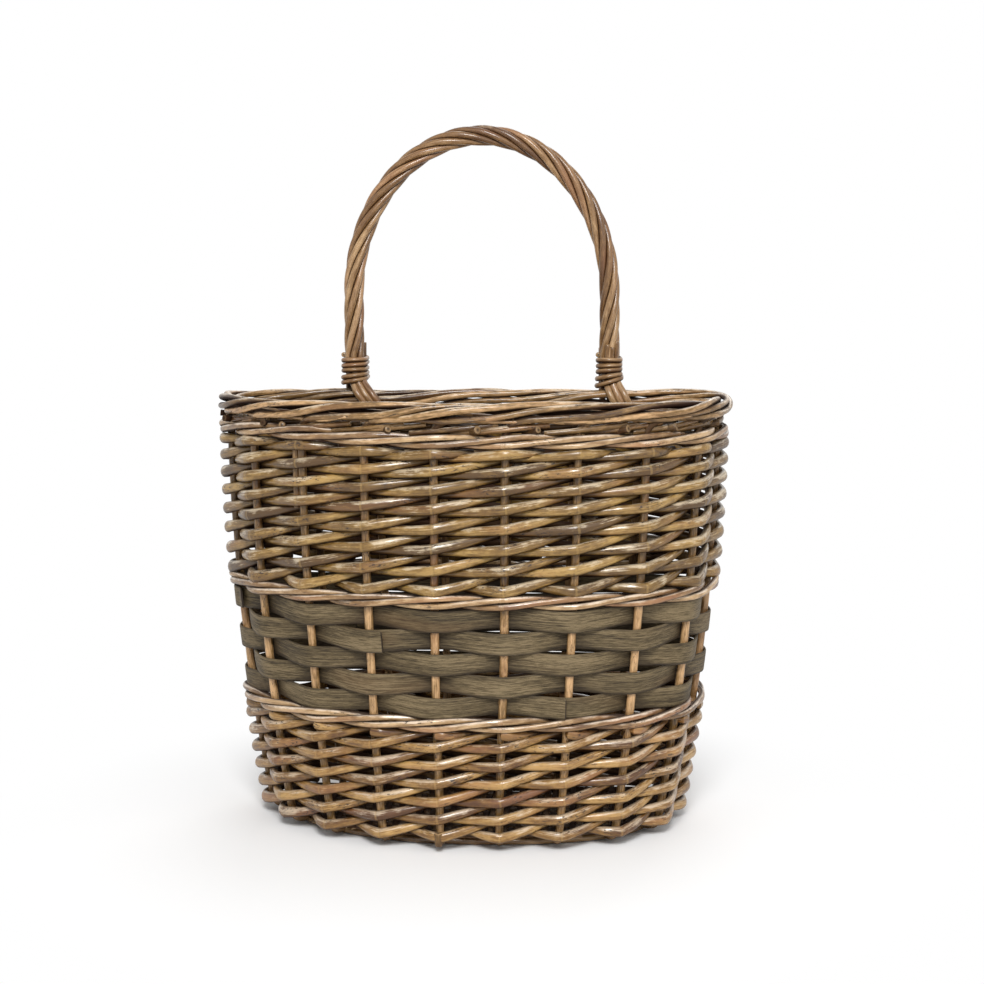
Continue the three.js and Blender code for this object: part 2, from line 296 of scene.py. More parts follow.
def carried(line: np.ndarray, start: Sequence[float]) -> np.ndarray:
    """Section directions carried along a line without twist.

    Args:
        line: Points of the line.
        start: The first direction.

    Returns:
        One unit direction across the line for each point.
    """
    axes = np.empty_like(line)
    axis = np.asarray(start, float)
    for i, tangent in enumerate(tangents(line)):
        axis = axis - axis.dot(tangent) * tangent
        axis = axis / np.linalg.norm(axis)
        axes[i] = axis
    return axes


def nearest(points: np.ndarray, line: np.ndarray) -> np.ndarray:
    """Distance of points from the closest point of a line.

    Args:
        points: The points, in an array of any shape whose last axis is x, y and z.
        line: Points of the line.

    Returns:
        One distance for each point.
    """
    flat = points.reshape(-1, 3)
    least = np.full(len(flat), np.inf)
    for start in range(0, len(line), NEAREST_PART):
        part = line[start : start + NEAREST_PART]
        least = np.minimum(least, np.linalg.norm(flat[:, None, :] - part[None], axis=2).min(axis=1))
    return least.reshape(points.shape[:-1])


def drift(distance: np.ndarray, wave: float, seed: float) -> np.ndarray:
    """A gentle repeatable wander between about -1 and 1.

    Args:
        distance: Distance along a rod.
        wave: Length of the longest wave.
        seed: Shifts the pattern, so that rods differ.

    Returns:
        The wander at each distance.
    """
    turn = 2 * math.pi * distance / wave
    total = np.sin(turn + seed) + 0.6 * np.sin(2.3 * turn + 1.7 * seed)
    total = total + 0.4 * np.sin(5.1 * turn + 2.9 * seed)
    return total / 2


def bezier(*controls: Sequence[float]) -> np.ndarray:
    """A curve of the plan.

    Args:
        controls: Its four control points.

    Returns:
        Points from the first control to the last.
    """
    t = np.linspace(0, 1, 401)[:, None]
    weights = ((1 - t) ** 3, 3 * t * (1 - t) ** 2, 3 * t * t * (1 - t), t**3)
    return sum(weight * np.array(control) for weight, control in zip(weights, controls))


def quarter(middle_x: float, radius: float, first: float) -> np.ndarray:
    """A quarter turn of the plan, beside the flat back.

    Args:
        middle_x: Place of its middle across the basket.
        radius: Its radius.
        first: Angle where it starts.

    Returns:
        Points anticlockwise round the corner.
    """
    angle = np.linspace(first, first + math.pi / 2, 61)
    return np.stack([middle_x + radius * np.cos(angle), radius * np.sin(angle) - radius], axis=1)


class Wall:
    """The basket's wall: places beside its middle line in the shared frame."""

    def __init__(self, sizes: WallSizes, shift: Vector) -> None:
        """Sets the wall out.

        Args:
            sizes: Driving sizes.
            shift: From the CAD source's own place to the shared frame.
        """
        self.sizes = sizes
        self.shift = np.array(shift)
        outline = self._outline()
        self.closed = np.vstack([outline, outline[:1]])
        self.lengths = travelled(self.closed)
        self.spacing = self.lengths[-1] / sizes.stakes

    def _outline(self) -> np.ndarray:
        """Plan line at the rim.

        Returns:
            Points anticlockwise from the middle of the front.
        """
        s = self.sizes
        half = s.rim_width / 2
        right_control = -s.right_corner - s.right_fullness * (s.rim_depth - s.right_corner)
        left_control = -s.left_corner - s.left_fullness * (s.rim_depth - s.left_corner)
        front = (0, -s.rim_depth)
        right = bezier(
            front, (s.right_fullness * half, -s.rim_depth), (half, right_control), (half, -s.right_corner)
        )
        left = bezier(
            (-half, -s.left_corner), (-half, left_control), (-s.left_fullness * half, -s.rim_depth), front
        )
        right_turn = quarter(half - s.right_corner, s.right_corner, 0)
        left_turn = quarter(s.left_corner - half, s.left_corner, math.pi / 2)
        back = np.linspace(right_turn[-1], left_turn[0], 201)
        return np.vstack([right, right_turn[1:], back[1:], left_turn[1:], left[1:-1]])

    def scale(self, z: np.ndarray) -> tuple:
        """How the plan shrinks from the rim to the foot.

        Args:
            z: Heights.

        Returns:
            The factors of its width and depth at each height.
        """
        s = self.sizes
        t = np.clip(z / s.border_height, 0, 1.2)
        belly = 4 * s.bulge * t * (1 - t)
        wide = (s.foot_width + (s.rim_width - s.foot_width) * t + belly) / s.rim_width
        deep = (s.foot_depth + (s.rim_depth - s.foot_depth) * t + belly / 2) / s.rim_depth
        return wide, deep

    def _plan(self, along: np.ndarray) -> np.ndarray:
        """Points of the plan line at the rim.

        Args:
            along: Places round the wall in stake spacings.

        Returns:
            Level points in the CAD source's own place.
        """
        distance = np.mod((along + self.sizes.first_place) / self.sizes.stakes, 1) * self.lengths[-1]
        return np.stack([np.interp(distance, self.lengths, self.closed[:, k]) for k in (0, 1)], axis=-1)

    def outward(self, along: np.ndarray, z: np.ndarray) -> np.ndarray:
        """Level unit direction out of the wall.

        Args:
            along: Places round the wall in stake spacings.
            z: Heights.

        Returns:
            One direction for each place.
        """
        step = 0.02
        wide, deep = self.scale(np.asarray(z, float))
        place = np.asarray(along, float)
        tx, ty = (self._plan(place + step) - self._plan(place - step)).T
        return unit(np.stack([ty * deep, -tx * wide, np.zeros_like(tx)], axis=-1))

    def place(self, along: np.ndarray, z: np.ndarray, out: np.ndarray) -> np.ndarray:
        """Points beside the wall's middle line.

        Args:
            along: Places round the wall in stake spacings.
            z: Heights.
            out: Distances outward.

        Returns:
            Points in the shared frame.
        """
        along, z, out = np.broadcast_arrays(*(np.atleast_1d(np.asarray(v, float)) for v in (along, z, out)))
        wide, deep = self.scale(z)
        point = self._plan(along)
        flat = np.stack([point[:, 0] * wide, point[:, 1] * deep, z], axis=1)
        return flat + self.outward(along, z) * out[:, None] + self.shift


@dataclass
class Rod:
    """One rod: a line with a section that may change along it.

    Wide is half its size along side and tall is half its size across that, and corners replace its
    round section. Its shade function gives the shade painted on its surface, where it lies deep or
    against other rods, tone goes from 0 for dark wood to 1 for light, and bend is the distance to
    where it bends before a stake, in stake spacings.
    """

    line: np.ndarray
    side: np.ndarray
    wide: Union[float, np.ndarray]
    tall: Union[float, np.ndarray]
    hollow: Callable[[np.ndarray, np.ndarray, np.ndarray], np.ndarray]
    tone: Union[float, np.ndarray] = 0.5
    bend: Union[float, np.ndarray] = 1.0
    closed: bool = False
    finish: End = End.CUT
    corners: Optional[np.ndarray] = None


def evenly(dark: float) -> Callable:
    """Painted shade that is the same all over a rod."""
    return lambda _points, across, _upward: np.full(across.shape, dark)


class Bundle:
    """Gathers the rods of one piece and makes them one mesh with what the finishes read."""

    def __init__(self, name: str, sides: int = 12) -> None:
        """Starts an empty bundle.

        Args:
            name: Name of the piece.
            sides: Number of faces round a rod.
        """
        self.name = name
        self.sides = sides
        self.random = random.Random(name)
        self.rows: list = []
        self.faces: list = []
        self.count = 0

    def _push(self, points: np.ndarray, grain: np.ndarray, *layers: Union[float, np.ndarray]) -> int:
        """Keeps vertices with what the finishes read.

        Args:
            points: The vertices.
            grain: Their places in the rod's own wood.
            layers: Their values of each of LAYERS.

        Returns:
            The first one's number.
        """
        first = self.count
        columns = [np.broadcast_to(layer, len(points)) for layer in layers]
        self.rows.append(np.column_stack([points, grain, *columns]))
        self.count += len(points)
        return first

    def add(self, rod: Rod) -> None:
        """Sweeps one rod into the bundle.

        Args:
            rod: The rod.
        """
        line = rod.line
        count = len(line)
        along = tangents(line, rod.closed)
        side = unit(rod.side - (rod.side * along).sum(axis=1, keepdims=True) * along)
        cross = np.cross(along, side)
        section = rod.corners
        if section is None:
            angle = 2 * math.pi * np.arange(self.sides) / self.sides
            section = np.stack([np.cos(angle), np.sin(angle)], axis=1)
        sides = len(section)
        across = np.broadcast_to(rod.wide, count)[:, None] * section[None, :, 0]
        upward = np.broadcast_to(rod.tall, count)[:, None] * section[None, :, 1]
        points = line[:, None, :] + across[..., None] * side[:, None, :]
        points = points + upward[..., None] * cross[:, None, :]
        shift = np.array([self.random.uniform(0, 9) for _ in range(3)])
        grain = np.stack([np.repeat(travelled(line)[:, None], sides, axis=1), across, upward], axis=2) + shift
        tone = np.broadcast_to(rod.tone, count)
        bend = np.broadcast_to(rod.bend, count)
        hollow = rod.hollow(points, across, upward)
        first = self._push(
            points.reshape(-1, 3),
            grain.reshape(-1, 3),
            np.repeat(tone, sides),
            hollow.reshape(-1),
            0,
            np.repeat(bend, sides),
        )
        here = np.arange(count if rod.closed else count - 1)[:, None] * sides
        there = (here + sides) % (count * sides)
        j = np.arange(sides)
        k = (j + 1) % sides
        quads = np.stack([here + j, here + k, there + k, there + j], axis=-1)
        self.faces.extend((quads.reshape(-1, 4) + first).tolist())
        if rod.closed:
            return
        for row, way, finish in ((0, -along[0], End.CUT), (count - 1, along[-1], rod.finish)):
            ring = (points[row], grain[row], float(tone[row]), float(hollow[row].mean()))
            self._cap(ring, way, first + row * sides, finish, row == 0)

    def _cap(self, ring: tuple, way: np.ndarray, last: int, finish: End, at_start: bool) -> None:
        """Closes one end of a rod with a small chamfer and a cut face, or with a rounded tip.

        Args:
            ring: The last ring's vertices, their grain, and its tone and darkness.
            way: Direction out of the end.
            last: Number of the ring's first vertex.
            finish: How the end is finished.
            at_start: True at the rod's start, where faces turn the other way.
        """
        edge, grain, tone, dark = ring
        centre = edge.mean(axis=0)
        heart = grain.mean(axis=0)
        radius = np.linalg.norm(edge - centre, axis=1).mean()
        cut = 1.0 if finish is End.CUT else 0.0
        rings, reach = finish.value
        j = np.arange(len(edge))
        k = (j + 1) % len(edge)
        turn = -1 if at_start else 1
        for share, out in rings:
            inner = centre + (edge - centre) * share + way * radius * out
            start = self._push(inner, heart + (grain - heart) * share, tone, dark, cut, 1.0)
            faces = np.stack([last + j, last + k, start + k, start + j], axis=1)
            self.faces.extend(faces[:, ::turn].tolist())
            last = start
        point = self._push((centre + way * radius * reach)[None], heart[None], tone, dark, 2 * cut, 1.0)
        faces = np.stack([last + j, last + k, np.full(len(edge), point)], axis=1)
        self.faces.extend(faces[:, ::turn].tolist())

    def add_round(
        self,
        line: np.ndarray,
        start: Sequence[float],
        radius: Union[float, np.ndarray],
        hollow: Callable,
        tone: Union[float, np.ndarray],
        finish: End = End.CUT,
    ) -> None:
        """Sweeps one round rod, with its section carried along its line.

        Args:
            line: Points of the line.
            start: First direction of the section.
            radius: Its radius.
            hollow: Gives the darkness of its surface.
            tone: Its tone.
            finish: How its far end is finished.
        """
        self.add(Rod(line, carried(line, start), radius, radius, hollow, tone, finish=finish))

    def build(self) -> bpy.types.Object:
        """Makes the mesh object.

        Returns:
            The object, shaded smooth with crisp cut ends.
        """
        rows = np.concatenate(self.rows)
        mesh = bpy.data.meshes.new(self.name)
        mesh.from_pydata(rows[:, :3].tolist(), [], self.faces)
        mesh.update()
        grain = mesh.attributes.new("grain", "FLOAT_VECTOR", "POINT")
        grain.data.foreach_set("vector", np.ascontiguousarray(rows[:, 3:6], np.float32).ravel())
        for column, name in enumerate(LAYERS, 6):
            layer = mesh.attributes.new(name, "FLOAT", "POINT")
            layer.data.foreach_set("value", np.ascontiguousarray(rows[:, column], np.float32))
        piece = bpy.data.objects.new(self.name, mesh)
        bpy.context.scene.collection.objects.link(piece)
        bpy.ops.object.select_all(action="DESELECT")
        piece.select_set(True)
        bpy.context.view_layer.objects.active = piece
        bpy.ops.object.shade_smooth_by_angle(angle=math.radians(50))
        return piece


class Wire:
    """A shader socket that takes part in sums written as Python expressions."""

    def __init__(self, graph: "Graph", socket: bpy.types.NodeSocket) -> None:
        """Wraps a socket.

        Args:
            graph: The graph that the socket is in.
            socket: The output socket.
        """
        self.graph = graph
        self.socket = socket

    def _maths(self, operation: str, first: object, second: object) -> "Wire":
        """Adds one Math node."""
        return self.graph.node("ShaderNodeMath", {"operation": operation}, {0: first, 1: second})

    def __add__(self, other: object) -> "Wire":
        """Sum."""
        return self._maths("ADD", self, other)

    __radd__ = __add__

    def __sub__(self, other: object) -> "Wire":
        """Difference."""
        return self._maths("SUBTRACT", self, other)

    def __rsub__(self, other: object) -> "Wire":
        """Difference with this wire second."""
        return self._maths("SUBTRACT", other, self)

    def __mul__(self, other: object) -> "Wire":
        """Product."""
        return self._maths("MULTIPLY", self, other)

    __rmul__ = __mul__

    def above(self, low: float, high: float) -> "Wire":
        """A soft step.

        Args:
            low: Value where the step starts.
            high: Value where it ends.

        Returns:
            0 below low, 1 above high and a smooth rise between.
        """
        settings = {"interpolation_type": "SMOOTHSTEP"}
        values = {"Value": self, "From Min": low, "From Max": high}
        return self.graph.node("ShaderNodeMapRange", settings, values)


class Graph:
    """The nodes of a material or of the world."""

    def __init__(self, owner: Union[bpy.types.Material, bpy.types.World], shader: str) -> None:
        """Turns the owner's nodes on.

        Args:
            owner: The material or world.
            shader: Name of its shader's node.
        """
        owner.use_nodes = True
        self.owner = owner
        self.tree = owner.node_tree
        self.shader = self.tree.nodes[shader]

    def node(self, kind: str, settings: dict, values: dict, output: Union[int, str] = 0) -> Wire:
        """Adds a node.

        Args:
            kind: Type of the node.
            settings: Its settings, or a ramp's stops under "stops".
            values: Values or wires for its input sockets, by name or number.
            output: Which output is returned.

        Returns:
            The output as a wire.
        """
        made = self.tree.nodes.new(kind)
        for key, value in settings.items():
            if key == "stops":
                self._stops(made.color_ramp, value)
            else:
                setattr(made, key, value)
        self.put(made, values)
        return Wire(self, made.outputs[output])

    def put(self, node: bpy.types.Node, values: dict) -> None:
        """Links wires to a node's input sockets, or sets the sockets' values.

        Args:
            node: The node.
            values: Wires and plain values, by the socket's name or number.
        """
        for key, value in values.items():
            if isinstance(value, Wire):
                self.tree.links.new(value.socket, node.inputs[key])
            else:
                node.inputs[key].default_value = value

    @staticmethod
    def _stops(ramp: bpy.types.ColorRamp, stops: Sequence) -> None:
        """Sets a ramp's stops.

        Args:
            ramp: The ramp.
            stops: Places and colours.
        """
        while len(ramp.elements) < len(stops):
            ramp.elements.new(0.5)
        for element, (place, ink) in zip(ramp.elements, stops):
            element.position = place
            element.color = ink

    def attribute(self, name: str, output: str = "Fac") -> Wire:
        """Reads an attribute of the mesh."""
        return self.node("ShaderNodeAttribute", {"attribute_name": name}, {}, output)

    def seen(self) -> Wire:
        """Tells what is seen directly, mirrored or through something.

        Returns:
            1 for such a ray and 0 for the light that falls on the basket.
        """
        kinds = ("Camera", "Glossy", "Transmission")
        rays = [self.node("ShaderNodeLightPath", {}, {}, f"Is {kind} Ray") for kind in kinds]
        return self.node("ShaderNodeMath", {"operation": "MAXIMUM"}, {0: rays[0] + rays[1], 1: rays[2]})

    def noise(self, vector: Wire, factors: tuple, detail: float, roughness: float = 0.55) -> Wire:
        """A noise pattern from 0 to 1.

        Args:
            vector: Where it is read.
            factors: Its fineness along each direction.
            detail: Its number of finer layers.
            roughness: The strength of the finer layers.

        Returns:
            The pattern.
        """
        place = self.node("ShaderNodeVectorMath", {"operation": "MULTIPLY"}, {0: vector, 1: factors})
        values = {"Vector": place, "Scale": 1.0, "Detail": detail, "Roughness": roughness}
        return self.node("ShaderNodeTexNoise", {}, values, "Fac")

    def ramp(self, shade: Wire, stops: Sequence) -> Wire:
        """A colour ramp with the given stops."""
        return self.node("ShaderNodeValToRGB", {"stops": stops}, {"Fac": shade})

    def blend(self, share: Wire, first: object, second: object) -> Wire:
        """Mixes two colours by the share of the second."""
        return self.node("ShaderNodeMix", {"data_type": "RGBA"}, {0: share, 6: first, 7: second}, 2)

    def bump(self, strength: float, height: Wire) -> Wire:
        """Fine relief of the given height."""
        values = {"Strength": strength, "Distance": 0.4 * MM, "Height": height}
        return self.node("ShaderNodeBump", {}, values)


def colour(red: int, green: int, blue: int) -> tuple:
    """A screen colour as the linear one that shaders take.

    Args:
        red: Red from 0 to 255.
        green: Green from 0 to 255.
        blue: Blue from 0 to 255.

    Returns:
        Linear red, green, blue and alpha.
    """
    shares = (red / 255, green / 255, blue / 255)
    return (*(v / 12.92 if v <= 0.04045 else ((v + 0.055) / 1.055) ** 2.4 for v in shares), 1.0)


@dataclass(frozen=True)
class WillowFinish:
    """Stained willow rod: drifting tan and olive, fine streaks, bark specks, pale dust with painted
    highlights, and painted shade in the grooves.

    Its colours are screen colours, and the rest are strengths from 0 to 1.
    """

    name: str
    deep: tuple = (78, 53, 18)
    middle: tuple = (120, 90, 41)
    light: tuple = (168, 135, 76)
    blush: tuple = (140, 92, 54)
    dust_and_highlight_colour: tuple = (198, 180, 150)
    shade_and_grain_brown: tuple = (36, 13, 1)
    bark: tuple = (36, 20, 10)
    pale: tuple = (172, 140, 98)
    blushing: float = 0.3
    dust_and_highlight_share: float = 0.75
    specks: float = 0.8
    gloss: float = 0.9
    relief: float = 0.9
    top_highlight_and_dust: float = 0.3
    grit: float = 1.0
    roughness: float = 0.5
    sheen: float = 0.2

    def material(self) -> bpy.types.Material:
        """Builds the material.

        Returns:
            The material.
        """
        g = Graph(bpy.data.materials.new(self.name), "Principled BSDF")
        deep, light, shade_and_grain_brown, bark = (colour(*ink) for ink in (self.deep, self.light, self.shade_and_grain_brown, self.bark))
        grain = g.attribute("grain", "Vector")
        tone, hollow, cut, bend = (g.attribute(name) for name in LAYERS)

        # Body: tan and olive that drift along the rod, with streaks, a pink blush and fine dark lines.
        wander = g.noise(grain, (28, 160, 160), 3)
        streak = g.noise(grain, (70, 1500, 1500), 4, 0.62)
        fine = g.noise(grain, (260, 3400, 3400), 3)
        mottle = g.noise(grain, (190, 520, 520), 3, 0.62)
        shade = tone + (wander - 0.5) * 1.0 + (streak - 0.5) * 1.1 + (mottle - 0.5) * 0.9
        body = g.ramp(shade, ((0.08, deep), (0.5, colour(*self.middle)), (0.92, light)))
        blush = g.noise(grain, (16, 60, 60), 2).above(0.5, 0.68)
        body = g.blend(blush * self.blushing, body, colour(*self.blush))
        body = g.blend(fine.above(0.54, 0.72) * 0.4, body, deep)

        # Pale dust mixed with painted highlights: lighter on upward-facing surfaces as if lit from above,
        # in patches and before the stakes where the rods bulge.
        normal = g.node("ShaderNodeNewGeometry", {}, {}, "Normal")
        rise = g.node("ShaderNodeSeparateXYZ", {}, {0: normal}, "Z")
        from_stake = g.node("ShaderNodeMath", {"operation": "ABSOLUTE"}, {0: bend})
        near = 1.0 - from_stake.above(0.35, 0.75)
        patch = g.noise(grain, (42, 110, 110), 2, 0.6)
        rough_grain = (streak - 0.5) * 0.8 + (mottle - 0.5) * 0.6
        dust_and_highlight_mask = (rise * self.top_highlight_and_dust + patch + near * 0.16 + rough_grain * self.grit).above(0.74, 1.0)
        body = g.blend(dust_and_highlight_mask * self.dust_and_highlight_share, body, colour(*self.dust_and_highlight_colour))

        # Bark specks in clusters, and a pale painted highlight on the crease where a rod bends over its
        # stake.
        speck = g.noise(grain, (380, 1300, 1300), 2, 0.6).above(0.57, 0.63)
        cluster = g.noise(grain, (40, 170, 170), 1).above(0.54, 0.64)
        spots = speck * (cluster + dust_and_highlight_mask * 0.5) * self.specks
        body = g.blend(spots, body, bark)
        crease = 1.0 - (from_stake + (fine - 0.5) * 0.02).above(0.006, 0.022)
        body = g.blend(crease * 0.3, body, light)

        # Painted shade in the grooves, deep in the wall and where rods touch, and cut ends with a dark
        # pith that are shaded too where they lie deep.
        shade_mask = (hollow + (streak - 0.5) * 0.35).above(0.2, 0.95)
        body = g.blend(shade_mask * 0.95, body, shade_and_grain_brown)
        sawn = cut.above(0.3, 0.8)
        face = g.blend(cut.above(1.2, 1.9) * 0.85, colour(*self.pale), bark)
        body = g.blend(sawn, body, face)
        body = g.blend(hollow.above(0.3, 0.9) * sawn * 0.9, body, shade_and_grain_brown)

        height = streak * 0.5 + fine * 0.25 + mottle * 0.6 - spots * 0.5 - crease * 0.8
        values = {
            "Base Color": body,
            "Roughness": self.roughness + (mottle - 0.5) * 0.35 + shade_mask * 0.25,
            "Normal": g.bump(self.relief, height),
            "Coat Weight": (1.0 - shade_mask) * (0.5 + dust_and_highlight_mask * 0.5) * self.gloss,
            "Coat Roughness": self.sheen,
            "Coat IOR": 1.75,
            "Specular IOR Level": 0.2,
        }
        g.put(g.shader, values)
        return g.owner


@dataclass(frozen=True)
class StripFinish:
    """Weathered split wood: grey brown with fine long grain. Its colours are screen colours."""

    name: str
    dark: tuple = (46, 36, 20)
    middle: tuple = (84, 71, 47)
    light: tuple = (130, 113, 84)
    shade_and_grain_brown: tuple = (28, 17, 8)
    warm: tuple = (96, 70, 42)
    roughness: float = 0.68

    def material(self) -> bpy.types.Material:
        """Builds the material.

        Returns:
            The material.
        """
        g = Graph(bpy.data.materials.new(self.name), "Principled BSDF")
        shade_and_grain_brown = colour(*self.shade_and_grain_brown)
        grain = g.attribute("grain", "Vector")
        tone, hollow, cut = (g.attribute(name) for name in LAYERS[:3])
        wander = g.noise(grain, (14, 120, 120), 3)
        fibre = g.noise(grain, (26, 1300, 1300), 5, 0.72)
        hair = g.noise(grain, (150, 3000, 3000), 4, 0.68)
        shade = tone + (wander - 0.5) * 1.0 + (fibre - 0.5) * 2.0 + (hair - 0.5) * 2.3
        stops = ((0.12, colour(*self.dark)), (0.5, colour(*self.middle)), (0.9, colour(*self.light)))
        body = g.ramp(shade, stops)
        body = g.blend(g.noise(grain, (9, 40, 40), 2).above(0.52, 0.7) * 0.3, body, colour(*self.warm))
        # Fine dark grain lines, in the same dark brown as the painted shade.
        body = g.blend((hair + fibre * 0.6).above(0.88, 0.98) * 0.4, body, shade_and_grain_brown)
        # Painted shade where the strip lies deep behind the stakes.
        body = g.blend((hollow + (fibre - 0.5) * 0.3).above(0.3, 1.0) * 0.7, body, shade_and_grain_brown)
        # Painted shade on the strip's cut ends.
        body = g.blend(cut.above(0.3, 0.8) * 0.9, body, shade_and_grain_brown)
        values = {
            "Base Color": body,
            "Roughness": self.roughness + (fibre - 0.5) * 0.25,
            "Normal": g.bump(0.6, fibre * 0.6 + hair * 0.4),
            "Specular IOR Level": 0.35,
        }
        g.put(g.shader, values)
        return g.owner


UPPER_WEAVER = WillowFinish("weaver_willow_stained")
LOWER_WEAVER = WillowFinish(
    "low_weaver_willow_stained",
    deep=(80, 48, 18),
    middle=(132, 96, 46),
    light=(180, 142, 84),
    blush=(156, 104, 68),
    dust_and_highlight_colour=(200, 178, 150),
    blushing=0.4,
)
WALE = WillowFinish(
    "wale_willow_stained",
    deep=(92, 62, 34),
    middle=(138, 106, 68),
    light=(192, 160, 118),
    blush=(168, 114, 78),
    dust_and_highlight_colour=(236, 218, 196),
    blushing=0.4,
    dust_and_highlight_share=0.65,
    relief=0.4,
    top_highlight_and_dust=0.45,
    grit=0.55,
)
STAKE = WillowFinish(
    "stake_willow_stained",
    deep=(70, 46, 20),
    middle=(122, 92, 50),
    light=(198, 158, 112),
    blush=(150, 98, 62),
    dust_and_highlight_colour=(220, 198, 168),
    blushing=0.25,
    dust_and_highlight_share=0.65,
    gloss=0.8,
    top_highlight_and_dust=0.42,
    grit=0.75,
)
HANDLE = WillowFinish(
    "handle_willow_stained",
    deep=(84, 54, 26),
    middle=(128, 95, 58),
    light=(176, 143, 104),
    blush=(152, 102, 72),
    dust_and_highlight_colour=(206, 184, 156),
    shade_and_grain_brown=(58, 32, 12),
    dust_and_highlight_share=0.55,
    specks=0.4,
    gloss=0.8,
    relief=0.35,
    top_highlight_and_dust=0.2,
    grit=0.5,
)
BASE = WillowFinish("base_willow_stained", middle=(110, 82, 50), light=(140, 110, 70), dust_and_highlight_share=0.1)
STRIP = StripFinish("strip_wood_weathered")


def dress(piece: bpy.types.Object, material: bpy.types.Material, nodes: Sequence[str]) -> None:
    """Finishes a piece and lets it stand for its CAD nodes.

    Args:
        piece: The piece.
        material: Its material.
        nodes: The CAD nodes that it replaces.
    """
    piece.data.materials.append(material)
    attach(piece, "root")
    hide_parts(*nodes)
    log.info("%s stands for %s with %d faces", piece.name, ", ".join(nodes), len(piece.data.polygons))


def painted_depth_shade(out: np.ndarray, low: float, high: float, edge: float = 0.6) -> Callable:
    """Painted shade on a rod's surface by how deep it lies in the wall.

    Args:
        out: How far the rod's middle stands out of the wall's middle at each of its points.
        low: Depth at which the stain is full.
        high: Depth at which it ends.
        edge: Painted shade along the upper and lower edges, where rods touch.

    Returns:
        A function of a rod's surface that is high on its inner side and 0 where it stands proud.
    """
    deepest = 0.85

    def shade(_points: np.ndarray, across: np.ndarray, upward: np.ndarray) -> np.ndarray:
        """Darkness of each point of the surface.

        Args:
            _points: Points of the surface, not used.
            across: How far each point stands out of the rod's middle.
            upward: How far it lies above that.

        Returns:
            Values from 0 to 1.
        """
        # Painted shade where the surface lies deep in the wall, out of the light.
        depth = np.clip((high - out[:, None] - across) / (high - low), 0, deepest)
        flank = upward / np.abs(upward).max(axis=1, keepdims=True)
        # Painted shade along both edges where rods touch, and more down the lower side, as if lit from above.
        rim = np.clip((np.abs(flank) - 0.68) / 0.27, 0, 1) + 0.45 * np.clip((flank - 0.1) / 0.8, 0, 1)
        return np.clip(depth + edge * rim, 0, 1)

    return shade


@dataclass(frozen=True)
class Course:
    """How the rods of one woven part of the wall lie. Each pair is for its lowest and its highest row."""

    name: str
    start: float
    height: float
    rows: int
    half: tuple
    kink: tuple
    backing: float
    crowding: float = 0.0

    def level(self, row: np.ndarray) -> np.ndarray:
        """Height of a row above the lowest one; rows lie closer together higher up."""
        share = np.clip(row / (self.rows - 1), 0, 1)
        return self.height * (share + self.crowding * share * (1 - share))

    def between(self, pair: tuple, row: np.ndarray) -> np.ndarray:
        """A size that changes from the lowest row to the highest."""
        share = np.clip(row / (self.rows - 1), 0, 1) ** 0.7
        return pair[0] + (pair[1] - pair[0]) * share


